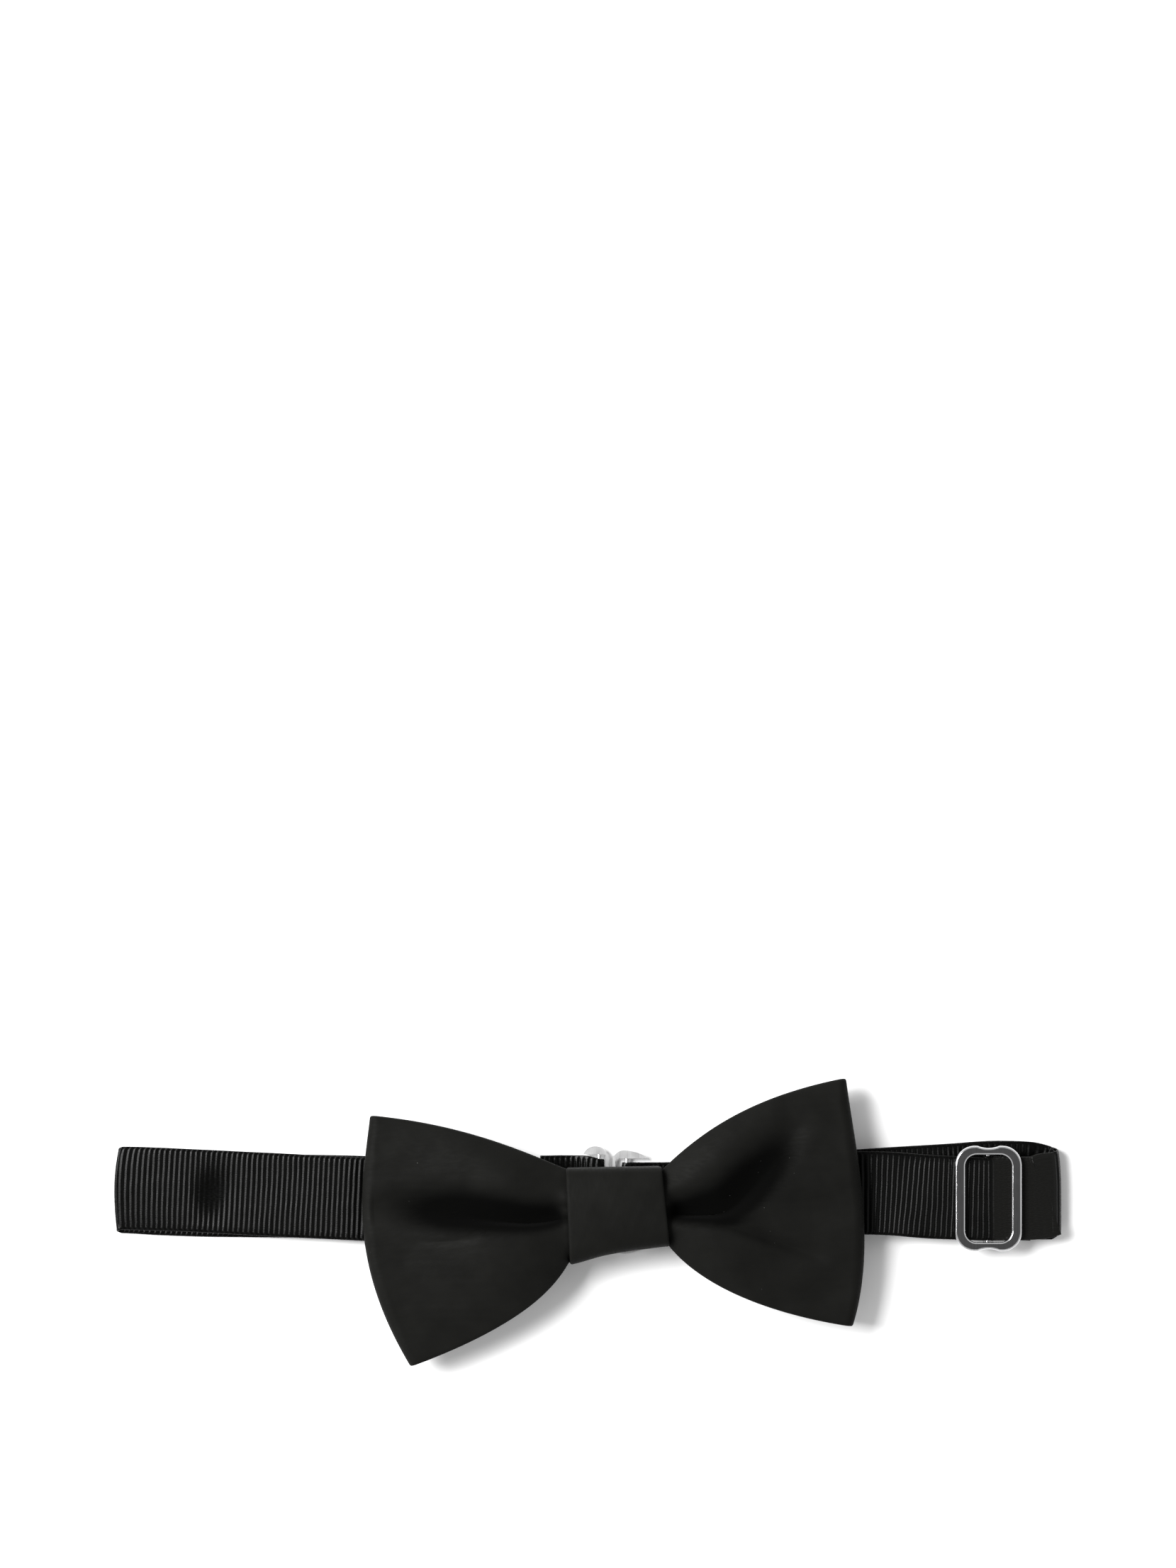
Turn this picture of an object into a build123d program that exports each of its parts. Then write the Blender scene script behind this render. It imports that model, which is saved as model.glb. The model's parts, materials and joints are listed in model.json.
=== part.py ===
"""Pre-tied bow tie on an adjustable grosgrain neck strap, lying flat with the clasp closed.

Millimetres.  X runs along the strap, Y across it, Z up, away from the surface the tie lies on.
The origin is the centre of the underside of the whole tie.

The strap is one length of ribbon.  From the hook it runs left along the bottom, folds up and
back at the left end, crosses behind the bow, goes through the slider, folds down at the right
end, runs back along the bottom to the eye, turns round the eye's bar, follows itself back
inside the right fold and ends sewn round the slider's middle bar.
"""
import os

from build123d import *

# ---- ribbon -----------------------------------------------------------------------------
STRAP_WIDTH = 19.0          # 3/4 inch grosgrain
STRAP_THICKNESS = 0.6
PLY_GAP = 0.05              # air between two plies that lie on each other
LOOP_GAP = 0.15             # air between a metal bar and the ribbon sewn round it

# ---- whole tie --------------------------------------------------------------------------
LENGTH = 215.6              # over the two folded ends
HEIGHT = 65.8               # over the highest and lowest corners of the bow
LEFT_END = -LENGTH / 2
RIGHT_END = LENGTH / 2

# ---- where the ribbon runs: (x, y of its centre line, z of its underside) -----------------
FRONT_LEFT_Z = 1.6          # underside of the front run at the left fold
FRONT_RIGHT_Z = 4.05        # and beside the slider, above the sewn loop
UNDER_LEFT_WING_Z = 2.7
BEHIND_KNOT_Z = 5.6
BEHIND_KNOT_Y = 2.2
SLIDER_Y = 5.4
LEFT_FOLD_Y = 7.1
HOOK_Y = 5.3
EYE_Y = 4.4
LEFT_RADIUS = (FRONT_LEFT_Z + STRAP_THICKNESS) / 2
RIGHT_RADIUS = (FRONT_RIGHT_Z + STRAP_THICKNESS) / 2
LEFT_FOLD_X = LEFT_END + LEFT_RADIUS
RIGHT_FOLD_X = RIGHT_END - RIGHT_RADIUS
SECOND_PLY_Z = STRAP_THICKNESS + PLY_GAP
RETURN_Z = FRONT_RIGHT_Z - STRAP_THICKNESS - PLY_GAP
STEADY_BEFORE_KNOT_X = -14.0
STEADY_AFTER_KNOT_X = 25.0
LEFT_WING_END_X = -51.0
RIGHT_WING_END_X = 63.0

# ---- clasp ------------------------------------------------------------------------------
BAR_RADIUS = 0.5            # round bar that the ribbon is sewn round
PLATE_THICKNESS = 1.0
LOOP_INNER = BAR_RADIUS + LOOP_GAP
LOOP_OUTER = LOOP_INNER + STRAP_THICKNESS
CLASP_Z = LOOP_OUTER        # height of both bars: the loop just touches the ground
SLOT_HALF = 9.9             # half the length of a slot for the ribbon
HOOK_BAR_X = 2.25
HOOK_LEFT_X = -1.6
HOOK_HALF_HEIGHT = 11.8
HOOK_CORNER = 2.9
CROSS_BAR_WIDTH = 0.7       # flat bars across the hook and the eye
HOOK_CROSS_X = 3.65         # left face of the hook's cross bar
NECK_HALF_WIDTH = 1.6
HEAD_LEFT_X = 6.45
HEAD_HALF_WIDTH = 3.6
HEAD_CORNER = 0.3
EYE_LEFT_X = 5.2
EYE_RIGHT_X = 13.4
EYE_BAR_X = 8.55
EYE_PEAK_X = 7.7
EYE_HALF_HEIGHT = 11.8
EYE_SLOPE_X = 11.0          # a point on the long slope of each of the eye's ears
EYE_SLOPE_DROP = 0.6
EYE_SHOULDER_IN = 0.75      # and one on the short round shoulder
EYE_SHOULDER_DROP = 0.9
GATE_HALF_WIDTH = 2.1       # half of the gap in the eye, level with the hook's neck
TAB_END_X = -11.5           # sewn-down end of the ribbon behind the hook
TAB_FLAT_X = -2.0           # from here leftwards it lies flat on the ply below
EYE_PLIES_MEET_X = 14.5

# ---- slider -----------------------------------------------------------------------------
SLIDER_X = 90.8
SLIDER_WIDTH = 15.3
SLIDER_HEIGHT = 24.0
SLIDER_CORNER = 4.5
WINDOW_WIDTH = 10.5
WINDOW_HEIGHT = 19.9
WINDOW_CORNER = 2.6
WAIST_DEPTH = 0.5           # shallow dip in the middle of each end
WAIST_RADIUS = 6.5
WINDOW_ROUND = 0.45
RIM_ROUND = 0.55
SLIDER_THICKNESS = 1.3
SLIDER_Z = FRONT_RIGHT_Z + STRAP_THICKNESS + 0.15
SLIDER_BAR_RADIUS = 0.55
POST_WIDTH = 2.4
POST_INSET = 0.4            # the posts stop this far inside the frame's ends
SLIDER_LOOP_INNER = SLIDER_BAR_RADIUS + LOOP_GAP
SLIDER_LOOP_OUTER = SLIDER_LOOP_INNER + STRAP_THICKNESS
SLIDER_BAR_Z = RETURN_Z + STRAP_THICKNESS - SLIDER_LOOP_OUTER
SLIDER_TAB_X = (3.2, 9.7)   # where the sewn end lies flat under the return run, from the bar

# ---- stitches ---------------------------------------------------------------------------
THREAD = 0.3
TACK_WIDTH = 1.2
TACK_LENGTH = 16.0
TACK_FROM_END = 2.5

# ---- bow --------------------------------------------------------------------------------
STRIP = 1.2                 # thickness of the bow's strip: silk, stiffening, silk
SILK = 0.3
STIFFENING = 0.5
STIFFENING_MARGIN = 0.6     # the stiffening stops this far inside the long edges
KNOT_LEFT_X = -5.6
KNOT_RIGHT_X = 16.4
KNOT_Y = (-8.4, 12.8)
KNOT_Z = (4.6, 14.5)
KNOT_WALL = 0.8
KNOT_CORNER = 1.2
CENTRE_Y = (-6.0, 10.4)     # the pinched middle of the bow, inside the knot
CENTRE_Z = (6.8, 12.0)
CENTRE_CORNER = 1.6
WINDING_WIDTH = 2.4         # band of thread wound round the pinched middle
WINDING_CORNER = 1.9
WINDING_GAP = 0.05
PAD_MARGIN_X = 0.8          # the pad under the knot's face is this much smaller than the knot
PAD_MARGIN_Y = 2.2
PAD_CORNER = 2.0
PAD_GAP = 0.1
SEAM_MARGIN = 1.5           # stitched seam along the back of the knot
SEAM_WIDTH = 1.0
SEAM_HEIGHT = 0.25
WING_GAP = 0.1              # between the end of the knot and the start of a wing
WING_MIDDLE_Z = 15.0        # highest and lowest lines along a wing
WING_TIP_TOP_Z = 11.6
WING_TIP_BOTTOM_Z = 5.1

# Plan outlines of the wings: each edge is an arc through three points.
LEFT_TOP_EDGE = ((-5.7, 11.6), (-26.0, 20.1), (-49.6, 24.4))
LEFT_OUTER_EDGE = ((-49.6, 24.4), (-50.9, 1.5), (-40.2, -HEIGHT / 2))
LEFT_BOTTOM_EDGE = ((-40.2, -HEIGHT / 2), (-21.2, -24.2), (-5.7, -10.2))
RIGHT_TOP_EDGE = ((16.5, 12.7), (38.0, 27.4), (58.3, HEIGHT / 2))
RIGHT_OUTER_EDGE = ((58.3, HEIGHT / 2), (62.9, 0.0), (60.4, -23.9))
RIGHT_BOTTOM_EDGE = ((60.4, -23.9), (37.0, -18.2), (16.5, -4.8))


def section_plane(x, y, z):
    """Plane across the strap's length: local X along Y, local Y up."""
    return Plane(origin=(x, y, z), x_dir=(0, 1, 0), z_dir=(1, 0, 0))


def side_plane(x, y, z):
    """Plane seen from the front edge: local X along X, local Y up."""
    return Plane(origin=(x, y, z), x_dir=(1, 0, 0), z_dir=(0, -1, 0))


def box_between(xs, ys, zs):
    """Box between two values along each axis."""
    middle = ((xs[0] + xs[1]) / 2, (ys[0] + ys[1]) / 2, (zs[0] + zs[1]) / 2)
    return Pos(*middle) * Box(xs[1] - xs[0], ys[1] - ys[0], zs[1] - zs[0])


def join(solids):
    """All the solids as one."""
    whole = solids[0]
    for solid in solids[1:]:
        whole = whole + solid
    return whole


def ribbon(points):
    """Flat ribbon through points (x, y of the centre line, z of the underside)."""
    spans = []
    for start, end in zip(points, points[1:]):
        way = Vector(*end) - Vector(*start)
        plane = section_plane(start[0], start[1], start[2] + STRAP_THICKNESS / 2)
        section = plane * Rectangle(STRAP_WIDTH, STRAP_THICKNESS)
        spans.append(extrude(section, amount=way.length, dir=way))
    return join(spans)


def ribbon_turn(x, y, z, outer, side):
    """Half turn of ribbon about an axis along Y; side is -1 for a left bulge, 1 for a right."""
    ring = Circle(outer) - Circle(outer - STRAP_THICKNESS)
    half = Pos(side * outer, 0) * Rectangle(2 * outer, 2 * outer)
    return extrude(side_plane(x, y, z) * (ring & half), amount=STRAP_WIDTH / 2, both=True)


def plate(sketch, z, thickness):
    """Flat plate centred on height z."""
    return extrude(Pos(0, 0, z) * sketch, amount=thickness / 2, both=True)


def round_bar(x, y, z, radius, half_length):
    """Round bar along Y."""
    circle = side_plane(x, y, z) * Circle(radius)
    return extrude(circle, amount=half_length, both=True)


def bar_tack(x, y, z):
    """Row of close stitches across the ribbon, standing on its surface."""
    xs = (x - TACK_WIDTH / 2, x + TACK_WIDTH / 2)
    ys = (y - TACK_LENGTH / 2, y + TACK_LENGTH / 2)
    low = box_between(xs, ys, (z, z + THREAD))
    return fillet(low.edges().filter_by(Axis.Y).group_by(Axis.Z)[-1], THREAD * 0.6)


# ---- the strap --------------------------------------------------------------------------
FRONT_ROUTE = [
    (LEFT_FOLD_X, LEFT_FOLD_Y, FRONT_LEFT_Z),
    (LEFT_WING_END_X, HOOK_Y, UNDER_LEFT_WING_Z),
    (STEADY_BEFORE_KNOT_X, BEHIND_KNOT_Y, BEHIND_KNOT_Z),
    (STEADY_AFTER_KNOT_X, BEHIND_KNOT_Y, BEHIND_KNOT_Z),
    (RIGHT_WING_END_X, SLIDER_Y, FRONT_RIGHT_Z),
    (RIGHT_FOLD_X, SLIDER_Y, FRONT_RIGHT_Z),
]
LEFT_TAIL_ROUTE = [
    (LEFT_FOLD_X, LEFT_FOLD_Y, 0),
    (STEADY_BEFORE_KNOT_X, HOOK_Y, 0),
    (HOOK_BAR_X, HOOK_Y, 0),
]
RIGHT_TAIL_PLAN = [
    (EYE_PLIES_MEET_X, EYE_Y),
    (62.0, 6.9),
    (95.0, 8.5),
    (RIGHT_FOLD_X, SLIDER_Y),
]


def strap_pieces():
    """Stretches of the ribbon, split where it bends as the tie is opened out."""
    right_tail = [(x, y, 0) for x, y in RIGHT_TAIL_PLAN]
    return_tail = [(x, y, SECOND_PLY_Z) for x, y in RIGHT_TAIL_PLAN]
    upper_ply_z = CLASP_Z + LOOP_INNER
    hook_tab = [
        (HOOK_BAR_X, HOOK_Y, upper_ply_z),
        (TAB_FLAT_X, HOOK_Y, SECOND_PLY_Z),
        (TAB_END_X, HOOK_Y, SECOND_PLY_Z),
    ]
    eye_upper = [(EYE_BAR_X, EYE_Y, upper_ply_z), (EYE_PLIES_MEET_X, EYE_Y, SECOND_PLY_Z)]
    eye_lower = [(EYE_BAR_X, EYE_Y, 0), (EYE_PLIES_MEET_X, EYE_Y, 0)]
    tab_start = SLIDER_X + SLIDER_TAB_X[0]
    tab_end = SLIDER_X + SLIDER_TAB_X[1]
    tab_z = RETURN_Z - STRAP_THICKNESS - PLY_GAP
    slider_tab = [
        (SLIDER_X, SLIDER_Y, SLIDER_BAR_Z - SLIDER_LOOP_OUTER),
        (tab_start, SLIDER_Y, tab_z),
        (tab_end, SLIDER_Y, tab_z),
    ]
    slider_upper = [(SLIDER_X, SLIDER_Y, RETURN_Z), (tab_start, SLIDER_Y, RETURN_Z)]
    return_run = [(tab_start, SLIDER_Y, RETURN_Z), (RIGHT_FOLD_X, SLIDER_Y, RETURN_Z)]
    return_radius = RIGHT_RADIUS - STRAP_THICKNESS - PLY_GAP
    hook_turn = ribbon_turn(HOOK_BAR_X, HOOK_Y, CLASP_Z, LOOP_OUTER, 1)
    eye_turn = ribbon_turn(EYE_BAR_X, EYE_Y, CLASP_Z, LOOP_OUTER, -1)
    slider_turn = ribbon_turn(SLIDER_X, SLIDER_Y, SLIDER_BAR_Z, SLIDER_LOOP_OUTER, -1)
    return {
        "strap_front": ribbon(FRONT_ROUTE),
        "strap_left_fold": ribbon_turn(LEFT_FOLD_X, LEFT_FOLD_Y, LEFT_RADIUS, LEFT_RADIUS, -1),
        "strap_left_tail": ribbon(LEFT_TAIL_ROUTE),
        "strap_hook_loop": join([hook_turn, ribbon(hook_tab)]),
        "strap_right_fold": ribbon_turn(RIGHT_FOLD_X, SLIDER_Y, RIGHT_RADIUS, RIGHT_RADIUS, 1),
        "strap_right_tail": ribbon(right_tail),
        "strap_eye_loop": join([eye_turn, ribbon(eye_upper), ribbon(eye_lower)]),
        "strap_return_tail": ribbon(return_tail),
        "strap_return_fold": ribbon_turn(RIGHT_FOLD_X, SLIDER_Y, RIGHT_RADIUS, return_radius, 1),
        "strap_return_run": ribbon(return_run),
        "strap_slider_loop": join([slider_turn, ribbon(slider_upper), ribbon(slider_tab)]),
    }


def stitch_pieces():
    """Bar tacks that close the two sewn loops of the strap."""
    tab_middle = SLIDER_X + (SLIDER_TAB_X[0] + SLIDER_TAB_X[1]) / 2
    under_tab = RETURN_Z - STRAP_THICKNESS - PLY_GAP - THREAD
    hook_tack_x = TAB_END_X + TACK_FROM_END
    return {
        "hook_bar_tack": bar_tack(hook_tack_x, HOOK_Y, SECOND_PLY_Z + STRAP_THICKNESS),
        "slider_bar_tack": bar_tack(tab_middle, SLIDER_Y, under_tab),
    }


# ---- the metal --------------------------------------------------------------------------
def make_hook():
    """Ears past the ribbon's edges, a round bar, a cross bar, and a T head on a neck."""
    cross_right = HOOK_CROSS_X + CROSS_BAR_WIDTH
    width = cross_right - HOOK_LEFT_X
    middle_x = (cross_right + HOOK_LEFT_X) / 2
    outline = Pos(middle_x, HOOK_Y) * RectangleRounded(width, 2 * HOOK_HALF_HEIGHT, HOOK_CORNER)
    slot_width = HOOK_CROSS_X - HOOK_LEFT_X + 1
    slot = Pos(HOOK_CROSS_X - slot_width / 2, HOOK_Y) * Rectangle(slot_width, 2 * SLOT_HALF)
    neck_length = HEAD_LEFT_X - cross_right + CROSS_BAR_WIDTH
    neck_x = HEAD_LEFT_X + CROSS_BAR_WIDTH / 2 - neck_length / 2
    neck = Pos(neck_x, HOOK_Y) * Rectangle(neck_length, 2 * NECK_HALF_WIDTH)
    head_x = HEAD_LEFT_X + CROSS_BAR_WIDTH / 2
    head_shape = RectangleRounded(CROSS_BAR_WIDTH, 2 * HEAD_HALF_WIDTH, HEAD_CORNER)
    head = Pos(head_x, HOOK_Y) * head_shape
    body = plate(outline - slot + neck + head, CLASP_Z, PLATE_THICKNESS)
    return body + round_bar(HOOK_BAR_X, HOOK_Y, CLASP_Z, BAR_RADIUS, SLOT_HALF + 1)


def make_eye():
    """Two sloping ears, a round bar for the ribbon and a cross bar with a gate for the hook."""
    ears = []
    for side in (-1, 1):
        foot = (EYE_LEFT_X, side * (SLOT_HALF - 1))
        peak = (EYE_PEAK_X, side * EYE_HALF_HEIGHT)
        shoulder = (EYE_LEFT_X + EYE_SHOULDER_IN, side * (EYE_HALF_HEIGHT - EYE_SHOULDER_DROP))
        slope = (EYE_SLOPE_X, side * (EYE_HALF_HEIGHT - EYE_SLOPE_DROP))
        tip = (EYE_RIGHT_X, side * (SLOT_HALF + 0.1))
        ears += [ThreePointArc(foot, shoulder, peak), ThreePointArc(peak, slope, tip)]
    ears.append(Line((EYE_LEFT_X, -SLOT_HALF + 1), (EYE_LEFT_X, SLOT_HALF - 1)))
    ears.append(Line((EYE_RIGHT_X, -SLOT_HALF - 0.1), (EYE_RIGHT_X, SLOT_HALF + 0.1)))
    outline = Pos(0, EYE_Y) * make_face(Curve() + ears)
    inside_left = EYE_LEFT_X + CROSS_BAR_WIDTH
    slot_width = EYE_RIGHT_X - inside_left + 1
    slot = Pos(inside_left + slot_width / 2, EYE_Y) * Rectangle(slot_width, 2 * SLOT_HALF)
    gate = Pos(EYE_LEFT_X, HOOK_Y) * Rectangle(4 * CROSS_BAR_WIDTH, 2 * GATE_HALF_WIDTH)
    body = plate(outline - slot - gate, CLASP_Z, PLATE_THICKNESS)
    return body + round_bar(EYE_BAR_X, EYE_Y, CLASP_Z, BAR_RADIUS, SLOT_HALF + 1)


def window_edge(edge):
    """True for an edge round the slider's window."""
    centre = edge.center()
    inside_x = abs(centre.X - SLIDER_X) < WINDOW_WIDTH / 2 + 0.01
    return inside_x and abs(centre.Y - SLIDER_Y) < WINDOW_HEIGHT / 2 + 0.01


def rim_edge(edge):
    """True for an edge of the slider's outer rim."""
    centre = edge.center()
    beside = abs(centre.X - SLIDER_X) > WINDOW_WIDTH / 2 + WINDOW_ROUND + 0.3
    return beside or abs(centre.Y - SLIDER_Y) > WINDOW_HEIGHT / 2 + WINDOW_ROUND + 0.3


def make_slider():
    """Waisted frame over the strap, with its middle bar dropped below the strap on two posts."""
    frame = Pos(SLIDER_X, SLIDER_Y) * RectangleRounded(SLIDER_WIDTH, SLIDER_HEIGHT, SLIDER_CORNER)
    window = Pos(SLIDER_X, SLIDER_Y) * RectangleRounded(WINDOW_WIDTH, WINDOW_HEIGHT, WINDOW_CORNER)
    frame = frame - window
    for side in (-1, 1):
        dip_centre = side * (SLIDER_HEIGHT / 2 + WAIST_RADIUS - WAIST_DEPTH)
        frame = frame - Pos(SLIDER_X, SLIDER_Y + dip_centre) * Circle(WAIST_RADIUS)
    middle_z = SLIDER_Z + SLIDER_THICKNESS / 2
    body = plate(frame, middle_z, SLIDER_THICKNESS)
    top_edges = body.edges().group_by(Axis.Z)[-1]
    inner_edges = [edge for edge in top_edges if window_edge(edge)]
    body = fillet(inner_edges, WINDOW_ROUND)
    outer_edges = [edge for edge in body.edges().group_by(Axis.Z)[-1] if rim_edge(edge)]
    body = fillet(outer_edges, RIM_ROUND)
    xs = (SLIDER_X - POST_WIDTH / 2, SLIDER_X + POST_WIDTH / 2)
    zs = (SLIDER_BAR_Z - SLIDER_BAR_RADIUS, middle_z)
    post_outer = SLIDER_HEIGHT / 2 - WAIST_DEPTH - POST_INSET
    for side in (-1, 1):
        ends = sorted((SLIDER_Y + side * SLOT_HALF, SLIDER_Y + side * post_outer))
        body = body + box_between(xs, ends, zs)
    return body + round_bar(SLIDER_X, SLIDER_Y, SLIDER_BAR_Z, SLIDER_BAR_RADIUS, SLOT_HALF + 0.3)


# ---- the bow ----------------------------------------------------------------------------
def wing_profile(start, tip, side, inset):
    """Side view of a wing: an arched top, a round tip and a straight underside."""
    start = start + side * inset
    tip = tip - side * inset
    top_z = WING_TIP_TOP_Z - inset
    bottom_z = WING_TIP_BOTTOM_Z + inset
    shoulder = tip - side * (top_z - bottom_z) / 2
    inner_top = (start, CENTRE_Z[1] - inset)
    inner_bottom = (start, CENTRE_Z[0] + inset)
    tip_top = (shoulder, top_z)
    tip_bottom = (shoulder, bottom_z)
    upper = ThreePointArc(inner_top, ((start + tip) / 2, WING_MIDDLE_Z - inset), tip_top)
    end = ThreePointArc(tip_top, (tip, (top_z + bottom_z) / 2), tip_bottom)
    return make_face(upper + end + Line(tip_bottom, inner_bottom) + Line(inner_bottom, inner_top))


def inside_fold(outer, side, inset):
    """Plan region on the knot's side of a wing's folded end, which is moved in by inset."""
    first, middle, last = [(x - side * inset, y) for x, y in outer]
    far_x = first[0] - side * LENGTH / 4
    far_y = HEIGHT
    rest = Polyline(last, (last[0], -far_y), (far_x, -far_y), (far_x, far_y), (first[0], far_y), first)
    return make_face(ThreePointArc(first, middle, last) + rest)


def wing_core(edges, side, inset):
    """Everything inside a loop of the bow whose surface is moved in by inset, with no long edges."""
    top, outer, _ = edges
    region = extrude(inside_fold(outer, side, inset), amount=WING_MIDDLE_Z + 5)
    profile = wing_profile(top[0][0], outer[1][0], side, inset)
    return region & extrude(side_plane(0, 0, 0) * profile, amount=HEIGHT, both=True)


def wing_layer(edges, side, outside, inside, margin):
    """Loop of sheet between two insets, cut to the plan outline drawn in by margin."""
    top, outer, bottom = edges
    rim = ThreePointArc(*top) + ThreePointArc(*outer) + ThreePointArc(*bottom)
    outline = make_face(rim + Line(bottom[2], top[0]))
    if margin:
        outline = offset(outline, amount=-margin, kind=Kind.INTERSECTION)
    cut = extrude(outline, amount=WING_MIDDLE_Z + 5)
    return (cut & wing_core(edges, side, outside)) - wing_core(edges, side, inside)


def wing_pieces(name, edges, side):
    """Loop of silk, open along its long edges, and the stiffening sewn inside its two plies."""
    room = PLY_GAP
    strip = wing_layer(edges, side, 0, STRIP, 0)
    cavity = wing_layer(edges, side, SILK, STRIP - SILK, STIFFENING_MARGIN)
    start = SILK + room
    lining = wing_layer(edges, side, start, start + STIFFENING, STIFFENING_MARGIN + room)
    return {f"bow_{name}_wing": strip - cavity, f"bow_{name}_lining": lining}


def tube_section(ys, zs, wall, corner):
    """Rounded rectangular ring in the plane across the strap."""
    plane = section_plane(0, (ys[0] + ys[1]) / 2, (zs[0] + zs[1]) / 2)
    width = ys[1] - ys[0]
    height = zs[1] - zs[0]
    outer = RectangleRounded(width, height, corner)
    inner = RectangleRounded(width - 2 * wall, height - 2 * wall, max(corner - wall, 0.3))
    return plane * (outer - inner)


def middle_pieces():
    """The pinched middle of the bow, its thread, and the knot band that hides them."""
    knot_length = KNOT_RIGHT_X - KNOT_LEFT_X
    middle_x = (KNOT_RIGHT_X + KNOT_LEFT_X) / 2
    wrap = extrude(tube_section(KNOT_Y, KNOT_Z, KNOT_WALL, KNOT_CORNER), amount=knot_length)
    centre_xs = (KNOT_LEFT_X - WING_GAP, KNOT_RIGHT_X + WING_GAP)
    centre = box_between(centre_xs, CENTRE_Y, CENTRE_Z)
    centre = fillet(centre.edges().filter_by(Axis.X), CENTRE_CORNER)
    build_up = WINDING_GAP + THREAD
    thread_ys = (CENTRE_Y[0] - build_up, CENTRE_Y[1] + build_up)
    thread_zs = (CENTRE_Z[0] - build_up, CENTRE_Z[1] + build_up)
    winding = tube_section(thread_ys, thread_zs, THREAD, WINDING_CORNER)
    thread = extrude(winding, amount=WINDING_WIDTH)
    pad_xs = (KNOT_LEFT_X + PAD_MARGIN_X, KNOT_RIGHT_X - PAD_MARGIN_X)
    pad_ys = (KNOT_Y[0] + PAD_MARGIN_Y, KNOT_Y[1] - PAD_MARGIN_Y)
    pad_zs = (thread_zs[1] + PAD_GAP, KNOT_Z[1] - KNOT_WALL - PLY_GAP)
    pad = box_between(pad_xs, pad_ys, pad_zs)
    seam_xs = (KNOT_LEFT_X + SEAM_MARGIN, KNOT_RIGHT_X - SEAM_MARGIN)
    seam_ys = (BEHIND_KNOT_Y - SEAM_WIDTH / 2, BEHIND_KNOT_Y + SEAM_WIDTH / 2)
    seam = box_between(seam_xs, seam_ys, (KNOT_Z[0] - SEAM_HEIGHT, KNOT_Z[0]))
    return {
        "bow_centre": centre,
        "gather_thread": Pos(middle_x - WINDING_WIDTH / 2, 0, 0) * thread,
        "knot_wrap": Pos(KNOT_LEFT_X, 0, 0) * wrap,
        "knot_pad": fillet(pad.edges().filter_by(Axis.Z), PAD_CORNER),
        "knot_back_stitches": seam,
    }


def main():
    """Write one STEP file for each piece."""
    pieces = strap_pieces()
    pieces.update(stitch_pieces())
    pieces.update({"hook": make_hook(), "eye": make_eye(), "slider": make_slider()})
    pieces.update(wing_pieces("left", (LEFT_TOP_EDGE, LEFT_OUTER_EDGE, LEFT_BOTTOM_EDGE), -1))
    pieces.update(wing_pieces("right", (RIGHT_TOP_EDGE, RIGHT_OUTER_EDGE, RIGHT_BOTTOM_EDGE), 1))
    pieces.update(middle_pieces())
    os.makedirs("parts", exist_ok=True)
    for name, shape in pieces.items():
        shape.label = name
        export_step(shape, f"parts/{name}.step")


main()
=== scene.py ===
"""Black pre-tied bow tie: the cloth, stitches, finishes and light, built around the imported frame.

Lengths are worked out in millimetres and become metres when a mesh is made.
"""
import json
import math

import bpy
import numpy as np
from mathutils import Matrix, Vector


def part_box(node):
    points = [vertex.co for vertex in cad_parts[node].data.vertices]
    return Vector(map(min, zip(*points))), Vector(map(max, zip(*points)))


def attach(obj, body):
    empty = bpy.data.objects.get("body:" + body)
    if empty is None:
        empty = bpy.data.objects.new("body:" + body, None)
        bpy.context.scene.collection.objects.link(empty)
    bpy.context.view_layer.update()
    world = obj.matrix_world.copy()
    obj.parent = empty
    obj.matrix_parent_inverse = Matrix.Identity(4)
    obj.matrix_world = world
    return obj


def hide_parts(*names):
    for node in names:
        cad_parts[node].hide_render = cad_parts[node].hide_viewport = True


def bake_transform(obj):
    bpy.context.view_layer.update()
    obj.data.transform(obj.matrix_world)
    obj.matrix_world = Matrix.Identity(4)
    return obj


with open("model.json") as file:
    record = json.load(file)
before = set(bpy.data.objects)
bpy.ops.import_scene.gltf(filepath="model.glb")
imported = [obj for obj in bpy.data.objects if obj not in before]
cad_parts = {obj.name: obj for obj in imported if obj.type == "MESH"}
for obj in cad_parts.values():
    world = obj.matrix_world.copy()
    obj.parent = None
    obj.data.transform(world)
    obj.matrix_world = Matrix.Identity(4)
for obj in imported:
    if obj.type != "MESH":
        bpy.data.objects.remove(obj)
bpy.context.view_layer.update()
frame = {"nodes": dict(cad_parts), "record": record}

MM = 0.001


# ---- the frame, in millimetres ----------------
def node_box(name):
    """Lowest and highest corner of a CAD node, in millimetres."""
    low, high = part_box(name)
    return np.array(low) / MM, np.array(high) / MM


def joint_place(name):
    """Position of a hinge, in millimetres."""
    joint = next(j for j in frame["record"]["behaviour"]["joints"] if j["name"] == name)
    return np.array(joint["pos_m"]) / MM


KNOT_LOW, KNOT_HIGH = node_box("knot_wrap")
PAD_LOW, PAD_HIGH = node_box("knot_pad")
WINDING_LOW, WINDING_HIGH = node_box("gather_thread")
SEAM_LOW, SEAM_HIGH = node_box("knot_back_stitches")
HOOK_TACK_LOW, HOOK_TACK_HIGH = node_box("hook_bar_tack")
SLIDER_TACK_LOW, SLIDER_TACK_HIGH = node_box("slider_bar_tack")
SLIDER_LOW, SLIDER_HIGH = node_box("slider")
SLIDER_LOOP_LOW, SLIDER_LOOP_HIGH = node_box("strap_slider_loop")
RETURN_LOW, RETURN_HIGH = node_box("strap_return_run")
LEFT_HINGE = joint_place("left_fold")
RIGHT_HINGE = joint_place("right_fold")
HOOK_BAR = joint_place("hook_swing")
EYE_BAR = joint_place("eye_swing")

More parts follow.
